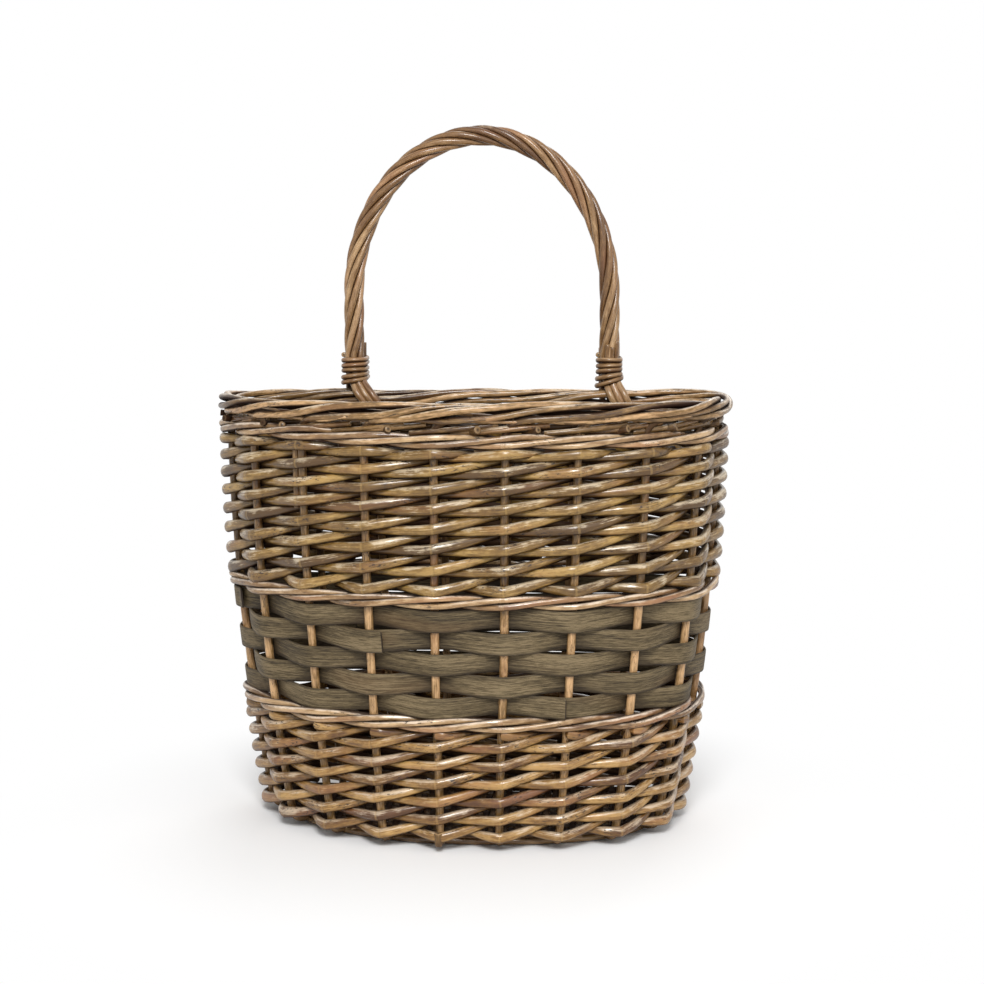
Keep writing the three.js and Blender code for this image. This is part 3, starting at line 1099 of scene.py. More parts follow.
@dataclass
class Weave:
    """The plain weave above and below the band, its wales and the wood strips.

    Places round the wall are in stake spacings, and the back wall's middle is at back_place.
    """

    wall: Wall
    weaver_sides: int = 14
    weaver_steps: int = 20
    weaver_tones: tuple = (0.1, 0.28, 0.38, 0.48, 0.56, 0.7)
    weaver_wander: float = 0.22 * MM
    weaver_shade: tuple = (-4.2 * MM, 1.4 * MM)
    butt: float = 0.55
    crease: float = 0.025
    left_place: float = 14.4
    left_reach: float = 2.6
    left_lift: float = 3.2 * MM
    back_place: float = 9.0
    back_reach: float = 5.9
    wale_steps: int = 14
    wale_wobble: float = 0.25 * MM
    wale_stain: tuple = (-3.0 * MM, 2.3 * MM, 0.95)
    strip_steps: int = 18
    strip_wander: float = 0.3 * MM
    strip_shade: tuple = (-5.5 * MM, 1.5 * MM)
    strip_lap: float = 0.9
    strip_joins: dict = field(default_factory=lambda: {0: 0.02, 3: 15.33})
    strip_sag: float = 0.95 * MM
    strip_loose: float = 2.0 * MM
    strip_squareness: float = 0.32

    def lift(self, along: np.ndarray) -> np.ndarray:
        """How much higher the uppermost rows lie at the left corner than elsewhere.

        Args:
            along: Places round the wall.

        Returns:
            Heights.
        """
        away = np.abs(np.mod(along, self.wall.sizes.stakes) - self.left_place)
        near = np.clip(1 - away / self.left_reach, 0, 1)
        return self.left_lift * near * near * (3 - 2 * near)

    def _zigzag(self, step: np.ndarray, sharp: float) -> np.ndarray:
        """A wave of plain weave: 1 at even steps and -1 at odd ones, straight between them."""
        return np.arcsin(sharp * np.cos(math.pi * step)) / math.asin(sharp)

    def weavers(self, course: Course, order: int) -> bpy.types.Object:
        """Every second rod of a French rand: one rod starts at each stake and all climb together.

        Args:
            course: The woven part that they belong to.
            order: 0 for the even rods and 1 for the odd ones.

        Returns:
            The piece.
        """
        bundle = Bundle(f"{course.name}_weaver_rods_{order + 1}", self.weaver_sides)
        for first in range(order, self.wall.sizes.stakes, 2):
            self._weaver_rod(bundle, course, first)
        return bundle.build()

    def _weaver_rod(self, bundle: Bundle, course: Course, first: int) -> None:
        """Adds one rod, from its butt behind its first stake to its tip under the next course.

        Args:
            bundle: The piece that it joins.
            course: The woven part.
            first: Its first stake.
        """
        s = self.wall.sizes
        last = course.rows - 1
        count = int((last + 2 * self.butt) * self.weaver_steps) + 1
        row = np.linspace(-self.butt, last + self.butt, count)
        beyond = np.maximum(np.maximum(-row, row - last), 0)
        wave = np.where(beyond > 0, np.cos(1.6 * math.pi * beyond), self._zigzag(row, 0.985))
        from_front = np.mod(row + 1, 2) - 1
        bent = np.sqrt(from_front**2 + self.crease**2) - self.crease
        inside_course = np.clip((np.minimum(row, last - row) + self.butt) / 0.9, 0, 1)
        stroke = course.between(course.kink, row) * (bent - 0.3) * inside_course
        seed = bundle.random.uniform(0, 50)
        distance = row * self.wall.spacing
        wander = self.weaver_wander * drift(distance, 0.13, seed) * inside_course
        z = course.start + course.level(row) + stroke + wander
        if course.crowding:
            z = z + self.lift(first + row) * np.clip(row / last, 0, 1)
        size = bundle.random.uniform(0.96, 1.05) * (1 + 0.035 * drift(distance, 0.07, seed + 3))
        out = wave * s.weaver_offset
        along = first + row + 0.03 * drift(distance, 0.19, seed + 5)
        at_back = np.clip(self.back_reach - np.abs(np.mod(along, s.stakes) - self.back_place), 0, 1)
        size = size * (1 + course.backing * at_back)
        tone = bundle.random.choice(self.weaver_tones) + bundle.random.uniform(-0.08, 0.08)
        rod = Rod(
            line=self.wall.place(along, z, out),
            side=self.wall.outward(along, z),
            wide=s.weaver_breadth * size,
            tall=course.between(course.half, row) * size * (0.95 + 0.19 * wave),
            hollow=painted_depth_shade(out, *self.weaver_shade),
            tone=np.clip(tone + 0.2 * drift(distance, 0.09, seed + 7), 0, 1),
            bend=from_front,
        )
        bundle.add(rod)

    def wale(self, name: str, height: float, rod: int) -> bpy.types.Object:
        """One rod of a three-rod wale: before two stakes, rising, and behind the third.

        Args:
            name: Name of the piece.
            height: Height of the course.
            rod: Which of the three rods.

        Returns:
            The piece.
        """
        s = self.wall.sizes
        bundle = Bundle(name)
        step = np.arange(0, s.stakes * self.wale_steps) / self.wale_steps
        phase = np.mod(2 * (step + rod), 6)
        low = np.floor(phase).astype(int)
        t = phase - low
        paths = []
        for knots in (np.array([-1, 0, 1, 1.0, 0, -1.0]), np.array([1, 1, 1, 0.0, -1, 0.0])):
            a, b, c, d = (knots[(low + k) % 6] for k in (-1, 0, 1, 2))
            squared = (2 * a - 5 * b + 4 * c - d) * t**2
            paths.append(0.5 * (2 * b + (c - a) * t + squared + (3 * b - a - 3 * c + d) * t**3))
        rise, stand = paths
        seed = bundle.random.uniform(0, 50)
        loop = 2 * math.pi * step / s.stakes
        wobble = np.sin(5 * loop + seed) + 0.7 * np.sin(11 * loop + 2 * seed)
        z = height + s.wale_rise * rise + self.wale_wobble * wobble
        if height == s.rim_wale:
            z = z + self.lift(step)
        out = s.wale_offset * stand
        size = 1.06 + 0.07 * np.sin(loop + seed)
        rod_made = Rod(
            line=self.wall.place(step, z, out),
            side=self.wall.outward(step, z),
            wide=s.wale * size,
            tall=s.wale * 1.05 * size,
            hollow=painted_depth_shade(out, *self.wale_stain),
            tone=0.55 + 0.22 * np.sin(2 * loop + 2 * seed),
            bend=0.5,
            closed=True,
        )
        bundle.add(rod_made)
        return bundle.build()

    def strip(self, row: int) -> bpy.types.Object:
        """One flat strip, bent flat over each stake, with its two ends lapped.

        Args:
            row: Row of the band, from the bottom.

        Returns:
            The piece.
        """
        s = self.wall.sizes
        bundle = Bundle(f"wood_band_{row + 1}")
        join = self.strip_joins.get(row, self.back_place - 0.5 + row)
        length = s.stakes + self.strip_lap
        step = np.linspace(join, join + length, int(length * self.strip_steps) + 1)
        wave = -self._zigzag(step + row, 0.9)
        seed = bundle.random.uniform(0, 50)
        distance = step * self.wall.spacing
        sag = -self.strip_sag * (wave - 0.1)
        z = s.band_start + row * s.strip_pitch + self.strip_wander * drift(distance, 0.16, seed) + sag
        over = np.clip((step - join - s.stakes + 0.2) / 0.2, 0, 1)
        under = np.clip(1 - (step - join - self.strip_lap) / 0.25, 0, 1)
        loose = np.clip((step - join - length + 0.16) / 0.16, 0, 1)
        lift = (s.strip_thickness * 0.55) * (over - under) + self.strip_loose * loose
        out = s.strip_offset * wave + lift
        line = self.wall.place(step, z, out)
        half = s.strip_height / 2
        top, low = (self.wall.place(step, z + rise, out) for rise in (half, -half))
        angle = 2 * math.pi * (np.arange(24) + 0.5) / 24
        circle = np.stack([np.cos(angle), np.sin(angle)], axis=1)
        rod = Rod(
            line=line,
            side=unit(np.cross(tangents(line), unit(top - low))),
            wide=s.strip_thickness / 2,
            tall=half * (1.02 + 0.025 * drift(distance, 0.09, seed + 5) + 0.02 * wave),
            hollow=painted_depth_shade(out, *self.strip_shade),
            # A little lighter where it stands in front of the stakes and darker behind them: painted light
            # and shade.
            tone=0.5 + 0.12 * drift(distance, 0.5, seed + 9) + 0.05 * wave,
            corners=np.sign(circle) * np.abs(circle) ** self.strip_squareness,
        )
        bundle.add(rod)
        return bundle.build()

    def build(self) -> None:
        """Weaves the wall."""
        s = self.wall.sizes
        lower = Course(
            name="lower",
            start=s.lower_start,
            height=(s.lower_rows - 1) * s.lower_pitch,
            rows=s.lower_rows + 1,
            half=(2.7 * MM, 2.55 * MM),
            kink=(3.3 * MM, 2.9 * MM),
            backing=0.12,
        )
        upper = Course(
            name="upper",
            start=s.upper_start,
            height=(s.upper_rows - 1) * s.row_pitch,
            rows=s.upper_rows,
            half=(2.9 * MM, 2.6 * MM),
            kink=(3.4 * MM, 0.5 * MM),
            backing=0.11,
            crowding=0.13,
        )
        for course, finish in ((lower, LOWER_WEAVER), (upper, UPPER_WEAVER)):
            weaver = finish.material()
            for order in (0, 1):
                node = f"{course.name}_weaver_{order + 1}"
                dress(self.weavers(course, order), weaver, [node])
        wale = WALE.material()
        for course, height in (("low", s.low_wale), ("mid", s.mid_wale), ("rim", s.rim_wale)):
            for rod in range(s.wale_rods):
                piece = self.wale(f"{course}_wale_{rod + 1}", height, rod)
                dress(piece, wale, [f"{course}_wale_rod_{rod + 1}"])
        strip = STRIP.material()
        for row in range(s.strips):
            dress(self.strip(row), strip, [f"wood_strip_{row + 1}"])


@dataclass
class Stakes:
    """The upright stakes, whose ends roll round each other as the border.

    Butts, corner stubs, the doubled stake and the low cut stake are named by the stakes' numbers.
    """

    wall: Wall
    step: float = 1.6 * MM
    strands: int = 5
    lay: float = 3.7 * MM
    tail: float = 1.9 * MM
    bend: float = 0.25
    tuck: float = 1.5 * MM
    taper: float = 26 * MM
    lean_heights: tuple = (30 * MM, 100 * MM, 180 * MM)
    doubled: int = 15
    doubled_from: float = 195 * MM
    cut_low: int = 17
    butts: tuple = (0, 1, 2, 3, 14, 16, 17, 7, 9, 11)
    corner_stubs: dict = field(default_factory=lambda: {12: 9 * MM, 13: 7.5 * MM, 14: 6 * MM})

    def border_point(self, along: float, run: float, proud: float = 0.0, sway: float = 0.0) -> np.ndarray:
        """A point of a tail that rolls round the border's middle line.

        Args:
            along: Place round the wall.
            run: How far the tail has run, in stake spacings.
            proud: How far it stands out of the roll.
            sway: How far it strays along the roll's turn.

        Returns:
            The point.
        """
        s = self.wall.sizes
        angle = 2 * math.pi * run / self.strands - math.pi / 2 + sway
        reach = self.lay + proud
        z = s.border_height + reach * math.sin(angle)
        return self.wall.place(along, z, s.border_flare + reach * math.cos(angle))[0]

    def _upright(self, index: int, lean: float) -> list:
        """Rough line of a stake from its toe to where it enters the border.

        Args:
            index: The stake's number.
            lean: How far it strays sideways, in stake spacings.

        Returns:
            Its points.
        """
        s = self.wall.sizes
        wall = self.wall
        first, second, third = self.lean_heights
        below = s.border_height - s.border_radius
        bent = s.toe_height + s.toe_bend
        heights = (bent, first, s.low_wale, second, s.mid_wale, third, s.upper_top, s.rim_wale)
        points = [
            wall.place(index, s.toe_height, -(s.toe_bend + s.toe_length)),
            wall.place(index, s.toe_height, -s.toe_bend),
            wall.place(index, s.toe_height + 0.3 * s.toe_bend, -0.3 * s.toe_bend),
            *(wall.place(index + lean * math.sin(z * 40), z, 0) for z in heights),
            wall.place(index, below - 1.1 * s.rim_opening, -0.1 * s.border_flare),
            wall.place(index + 0.35 * self.bend, below - 0.35 * s.rim_opening, 0.5 * s.border_flare),
        ]
        return [point[0] for point in points]

    def stake(self, index: int) -> bpy.types.Object:
        """One stake from its toe in the base to the tip of its tail in the border.

        Args:
            index: Its number, from 0 at the front right of the middle.

        Returns:
            The piece.
        """
        s = self.wall.sizes
        bundle = Bundle(f"stake_rod_{index + 1:02d}")
        rough = self._upright(index, bundle.random.uniform(-0.02, 0.02))
        rough.append(self.border_point(index + self.bend, self.bend))
        length = self.strands + bundle.random.uniform(-0.2, 0.9)
        loose = bundle.random.uniform(-0.6, 0.8) * MM
        stray = bundle.random.uniform(0, 6)
        thick = bundle.random.uniform(0.86, 1.16)
        run = self.bend + 1 / 3
        while run < length - 0.2:
            proud = loose + (self.tuck - loose) * np.clip((run - self.strands + 0.2) / 0.4, 0, 1)
            settled = min(1.0, run - self.bend)
            sway = settled * (0.3 * math.sin(1.9 * run + stray) + 0.16 * math.sin(4.3 * run + 2 * stray))
            rough.append(self.border_point(index + run, run, proud, sway))
            run += 1 / 3
        rough.append(self.border_point(index + length, length, self.tuck))
        line = rounded(np.array(rough), self.step)
        distance = travelled(line)
        seed = bundle.random.uniform(0, 50)
        upright = distance[-1] - length * self.wall.spacing
        share = np.clip((distance - upright + 12 * MM) / (24 * MM), 0, 1)
        radius = s.stake + (self.tail * thick - s.stake) * share
        radius = radius * (1 + 0.05 * drift(distance, 0.07, seed))
        radius = radius * np.clip((distance[-1] - distance) / self.taper, 0.2, 1) ** 0.7
        height = line[:, 2]
        over_low = np.clip((height - s.low_wale) / (4 * MM), 0, 1)
        under_mid = np.clip((s.mid_wale - height) / (4 * MM), 0, 1)
        in_band = np.maximum(over_low * under_mid, 0.6 * (height < s.low_wale))
        in_border = np.clip((height - s.rim_wale) / (6 * MM), 0, 1)
        own = bundle.random.uniform(-0.32, 0.32) * (0.3 + 0.7 * in_border)
        own = own + 0.15 * drift(distance, 0.21, seed + 4) * in_border
        tone = 0.4 + 0.3 * in_band + 0.05 * in_border + own
        start = self.wall.place(index + 0.01, 0, 0)[0] - self.wall.place(index, 0, 0)[0]
        bundle.add_round(line, start, radius, self._shade_in_grooves, np.clip(tone, 0, 1), End.TIP)
        self._fill(bundle, index)
        return bundle.build()

    def _short(self, bundle: Bundle, path: tuple, radius: float, dark: float) -> None:
        """Adds one short rod in or under the border.

        Args:
            bundle: The piece that it joins.
            path: Its places round the wall, heights and distances outward.
            radius: Its radius.
            dark: Its darkness.
        """
        line = rounded(self.wall.place(*path), self.step)
        bundle.add_round(line, (0.1, 0.2, 1), radius, evenly(dark), bundle.random.uniform(0.1, 0.5))

    def _fill(self, bundle: Bundle, index: int) -> None:
        """Adds the weavers' ends that lie in the dark opening under the border, and the doubled stake.

        Args:
            bundle: The stake's own piece.
            index: The stake's number.
        """
        s = self.wall.sizes
        floor = s.rim_wale + s.wale_half
        chance = bundle.random.uniform
        # Each short rod here carries an even painted shade.
        for share in (0.0, 0.5):
            run = index + share + chance(-0.1, 0.1) + np.array([0, 0.5, 1.0, 1.5])
            z = floor + chance(0.6, 1.8) * MM + np.array([0, 1.2, 2.6, 3.6]) * MM
            out = np.array([-4.5, -3.8, -3.2, -3.6]) * MM + share * 1.5 * MM
            self._short(bundle, (run, z, out), 1.65 * MM, 0.6)
        if index in self.butts:
            run = index + chance(0.35, 0.75) + np.array([-0.16, -0.04, 0.03])
            z = floor + np.array([0.5, 1.8, 2.9]) * MM
            out = np.array([-3.5, 0.5, 4.6]) * MM
            self._short(bundle, (run, z, out), chance(1.9, 2.4) * MM, 0.62)
        for _ in range(2):
            run = index + chance(0, 1) + np.array([0, 0.35, 0.75, 1.15])
            z = floor + np.array([0.4, 1.6, 3.6, 5.2]) * MM
            out = np.array([-0.5, 1.6, 2.4, 0.5]) * MM + chance(-0.8, 0.6) * MM
            self._short(bundle, (run, z, out), chance(1.3, 1.7) * MM, 0.3)
        if index in self.corner_stubs:
            reach = self.corner_stubs[index]
            run = index + np.array([0.3, 0.36, 0.4])
            z = floor + np.array([2.4, 3.0, 3.6]) * MM
            self._short(bundle, (run, z, np.array([-3 * MM, 0.5 * reach, reach])), 1.9 * MM, 0.9)
        if index == self.cut_low:
            z = np.array([4.0, 7.0, 11.0]) * MM
            self._short(bundle, (index, z, 5.6 * MM), 2.3 * MM, 0.45)
        if index == self.doubled:
            z = np.linspace(self.doubled_from, floor + 2 * MM, 6)
            self._short(bundle, (index - 0.11, z, 0), 2.1 * MM, 0.35)

    def _shade_in_grooves(self, points: np.ndarray, _across: np.ndarray, inward: np.ndarray) -> np.ndarray:
        """Painted shade inside the rolled border, under it, where the stakes are woven, near the floor and on
        the inner side.

        Args:
            points: Points of a rod's surface.
            _across: Their places across the rod, not used.
            inward: How far each lies on the rod's inner side.

        Returns:
            Darkness from 0 to 1.
        """
        s = self.wall.sizes
        height = points[..., 2]
        in_border = height > s.border_height - self.lay - self.tail
        ring = self.wall.place(np.linspace(0, s.stakes, 721), s.border_height, s.border_flare)
        clear = self.lay + 0.8 * self.tail
        shade_mask = np.clip((clear - nearest(points, ring)) / (0.85 * self.tail), 0, 1)
        woven = 0.12 * ((height > s.mid_wale) & ~in_border)
        below = np.clip((height - s.rim_wale) / (3 * MM), 0, 1) * 0.6 + np.clip(1 - height / (8 * MM), 0, 1)
        inner = 0.6 * np.clip(inward / s.stake, 0, 1)
        return np.where(in_border, shade_mask, np.clip(woven + below + inner, 0, 1))

    def build(self) -> None:
        """Makes all stakes."""
        material = STAKE.material()
        for index in range(self.wall.sizes.stakes):
            dress(self.stake(index), material, [f"stake_{index + 1:02d}"])


@dataclass
class Handle:
    """The twisted hoop handle: a core, six strands and two bindings.

    The cut ends above the right binding are given by strand, as degrees round the leg and height.
    """

    wall: Wall
    sizes: HandleSizes = field(default_factory=HandleSizes)
    step: float = 1.5 * MM
    strand_steps: int = 260
    core_steps: int = 120
    binding_sides: int = 10
    cut_ends: dict = field(default_factory=lambda: {0: (-14, 7 * MM), 1: (17, 5.5 * MM), 2: (50, 9 * MM)})

    def __post_init__(self) -> None:
        """Works out the levels that follow from the sizes."""
        h = self.sizes
        w = self.wall.sizes
        self.plane = w.border_flare
        self.top = w.border_top + h.rise - h.lay - h.strand
        self.spring = w.border_top + h.spring
        self.leg = h.span / 2
        self.foot = w.border_top + w.gap
        self.low = w.border_top + h.binding_stand
        self.high = self.low + h.binding_turns * h.binding_pitch
        self.loop_step = math.pi / 6
        reach = w.border_radius + w.tail + h.strand + w.gap
        self.loop = reach / math.cos(self.loop_step / 2)
        self.back = h.lay + 2 * h.strand + w.gap
        self.pitch = 2 * h.strand + 1.2 * w.gap

    def arch(self, t: float) -> np.ndarray:
        """Point of the handle's middle line.

        Args:
            t: Share of its length, from the left binding to the right one.

        Returns:
            The point in the CAD source's own place.
        """
        leg_part = (self.spring - self.high) / 2
        arc = math.pi * (self.leg + self.top - self.spring) / 2
        total = 4 * leg_part + arc
        s = t * total
        side = -1 if s < total / 2 else 1
        from_foot = min(s, total - s)
        if from_foot < 2 * leg_part:
            return np.array([self.sizes.aside + side * self.leg, self.plane, self.high + from_foot])
        angle = math.pi * (s - 2 * leg_part) / arc
        rise = (self.top - self.spring) * math.sin(angle)
        return np.array([self.sizes.aside - self.leg * math.cos(angle), self.plane, self.spring + rise])

    def strand_point(self, t: float, angle: float) -> np.ndarray:
        """Point of a strand laid round the arch.

        Args:
            t: Share of the arch's length.
            angle: Turn round the arch.

        Returns:
            The point in the CAD source's own place.
        """
        step = 1e-3
        ahead = self.arch(min(t + step, 1)) - self.arch(max(t - step, 0))
        ahead = ahead / np.linalg.norm(ahead)
        outward = np.array([-ahead[2], 0, ahead[0]])
        lay = self.sizes.lay
        return self.arch(t) + outward * lay * math.cos(angle) + np.array([0, lay * math.sin(angle), 0])

    def foot_path(self, side: int, angle: float) -> list:
        """A strand's foot: under the border and up behind it, or straight down on to it.

        Args:
            side: -1 for the left foot and 1 for the right one.
            angle: Turn of the strand at the binding.

        Returns:
            Points from the binding on.
        """
        h = self.sizes
        w = self.wall.sizes
        middle = h.aside + side * self.leg
        x = middle + side * h.lay * math.cos(angle)
        y = self.plane + h.lay * math.sin(angle)
        if math.sin(angle) > -0.1:
            return [np.array([x, y, self.foot])]
        place = round(side * math.cos(angle) / math.cos(math.pi / 6))
        spread = middle + place * self.pitch
        slant = h.left_slant if side < 0 else h.right_slant
        depth = h.lay * (0.8 if place else 1.15)
        points = [
            np.array([x, y, self.low + 7 * MM]),
            np.array([middle + 0.2 * slant + 0.7 * place * self.pitch, self.plane - depth, self.low]),
        ]
        for turn in range(-1, 6):
            around = math.pi + turn * self.loop_step
            x = spread + slant * float(np.interp(turn, (-1, 1, 5), (0.5, 1.0, 0.15)))
            y = self.plane + self.loop * math.cos(around)
            points.append(np.array([x, y, w.border_height + self.loop * math.sin(around)]))
        y = self.plane + self.back
        points.append(np.array([spread, y, w.border_height + h.strand / 2]))
        points.append(np.array([spread, y, self.high + h.stub + 1.5 * MM * place]))
        return points

    def strand(self, number: int) -> bpy.types.Object:
        """One strand with both its feet.

        Args:
            number: Its number from 0.

        Returns:
            The piece.
        """
        h = self.sizes
        bundle = Bundle(f"handle_rod_{number + 1}")
        first = math.pi * (0.5 + 2 * number / h.strands)
        turn = 2 * math.pi * h.turns
        shares = np.arange(self.strand_steps + 1) / self.strand_steps
        middle = [self.strand_point(share, first - turn * share) for share in shares]
        left = rounded(np.array(self.foot_path(-1, first)[::-1] + middle[:1]), 1 * MM)
        right = rounded(np.array(middle[-1:] + self.foot_path(1, first - turn)), 1 * MM)
        line = spaced(np.vstack([left[:-1], middle, right[1:]]), self.step) + self.wall.shift
        distance = travelled(line)
        seed = bundle.random.uniform(0, 50)
        radius = h.strand * (1.05 + 0.05 * drift(distance, 0.12, seed))
        crown = np.clip((line[:, 2] - self.spring) / (self.top - self.spring), 0, 1)
        tone = 0.5 + 0.2 * drift(distance, 0.45, seed) + bundle.random.uniform(-0.25, 0.25) - 0.15 * crown
        bundle.add_round(line, (0, 1, 0.01), radius, self._shade_in_grooves, np.clip(tone, 0, 1))
        if number in self.cut_ends:
            self._cut_end(bundle, *self.cut_ends[number])
        return bundle.build()

    def _cut_end(self, bundle: Bundle, degrees: float, reach: float) -> None:
        """Adds a cut end that stands up out of the right binding.

        Args:
            bundle: The strand's own piece.
            degrees: Its place round the leg, from the front.
            reach: Its height above the binding.
        """
        h = self.sizes
        around = math.radians(degrees)
        away = h.lay + 0.65 * h.strand
        x = h.aside + self.leg + away * math.sin(around)
        y = self.plane - away * math.cos(around)
        top = [x + 0.3 * MM, y - 0.6 * MM, self.high + reach]
        rough = np.array([[x, y, self.high - 5 * MM], [x, y, self.high], top])

        def shade(_points: np.ndarray, across: np.ndarray, _upward: np.ndarray) -> np.ndarray:
            """Painted shade on the side that faces the leg."""
            return 0.35 * np.clip(across / h.cut_end, 0, 1)

        bundle.add_round(spaced(rough, self.step) + self.wall.shift, (0, 1, 0.01), h.cut_end, shade, 0.35)

    def _shade_in_grooves(self, points: np.ndarray, _across: np.ndarray, _upward: np.ndarray) -> np.ndarray:
        """Painted shade between the strands.

        Args:
            points: Points of a rod's surface.
            _across: Their places across the rod, not used.
            _upward: Their places up it, not used.

        Returns:
            Darkness from 0 to 1.
        """
        h = self.sizes
        line = [self.arch(t) for t in np.linspace(0, 1, 400)]
        for side in (-1, 1):
            for z in np.linspace(self.foot, self.high, 12):
                line.append(np.array([h.aside + side * self.leg, self.plane, z]))
        clear = h.lay + 0.82 * h.strand
        away = nearest(points, np.array(line) + self.wall.shift)
        return np.clip((clear - away) / (0.75 * h.strand), 0, 1)

    def core(self) -> bpy.types.Object:
        """The hoop's inner rod.

        Returns:
            The piece.
        """
        h = self.sizes
        bundle = Bundle("handle_inner_rod")
        left, right = (np.array([h.aside + side * self.leg, self.plane, self.foot]) for side in (-1, 1))
        hoop = [self.arch(i / self.core_steps) for i in range(self.core_steps + 1)]
        line = spaced(np.array([left, *hoop, right]), 3 * MM) + self.wall.shift
        radius = h.lay * math.cos(math.pi / 9) - h.strand
        # The core lies inside the strands and carries an even painted shade.
        bundle.add_round(line, (0, 1, 0), radius, evenly(0.8), 0.3)
        return bundle.build()

    def binding(self, name: str, side: int) -> bpy.types.Object:
        """The rod that is wound round a foot and the ends behind it.

        Args:
            name: Name of the piece.
            side: -1 for the left foot and 1 for the right one.

        Returns:
            The piece.
        """
        h = self.sizes
        bundle = Bundle(name, self.binding_sides)
        reach = h.lay + h.strand + h.binding - h.binding_bite
        corner = reach - self.pitch
        half, full = math.pi / 2, math.pi
        wrap = []
        for x, y, radius, start, end, count in (
            (0, 0, reach, full, 2 * full, 25),
            (self.pitch, self.back, corner, 0, half, 9),
            (-self.pitch, self.back, corner, half, full, 9),
        ):
            for angle in np.linspace(start, end, count):
                wrap.append((x + radius * math.cos(angle), y + radius * math.sin(angle), 0))
        around = spaced(np.array(wrap + wrap[:1]), 1.0 * MM)
        count = len(around) - 1
        turns = np.arange(h.binding_turns * count + 1)
        points = around[turns % count].copy()
        seed = bundle.random.uniform(0, 50)
        slope = turns / count
        wobble = h.binding_wobble * drift(slope, 1.7, seed)
        low_turn = np.clip(1.6 - slope, 0, 1) * (1.0 if side > 0 else 0.45)
        high_turn = np.clip(slope - h.binding_turns + 1.5, 0, 1) * (0.8 if side > 0 else 0.3)
        points[:, :2] *= (1 + 0.1 * low_turn)[:, None]
        tilt = (h.low_tilt * low_turn - h.high_tilt * high_turn) * points[:, 0] / reach
        points[:, 0] += h.aside + side * self.leg
        points[:, 1] += self.plane
        points[:, 2] = self.low + slope * h.binding_pitch + wobble + tilt - h.low_drop * low_turn
        radius = h.binding * (1.06 + 0.06 * drift(slope, 2.3, seed + 4))

        def shade(_points: np.ndarray, across: np.ndarray, _upward: np.ndarray) -> np.ndarray:
            """Painted shade between the wraps."""
            return np.clip(1.7 * np.abs(across) / h.binding - 0.75, 0, 1)

        bundle.add_round(points + self.wall.shift, (0, 0, 1), radius, shade, 0.55)
        return bundle.build()

    def build(self) -> None:
        """Makes the handle."""
        material = HANDLE.material()
        dress(self.core(), material, ["handle_core"])
        for number in range(self.sizes.strands):
            dress(self.strand(number), material, [f"handle_strand_{number + 1}"])
        for side, name in ((-1, "left"), (1, "right")):
            dress(self.binding(f"{name}_wrap", side), material, [f"{name}_binding"])


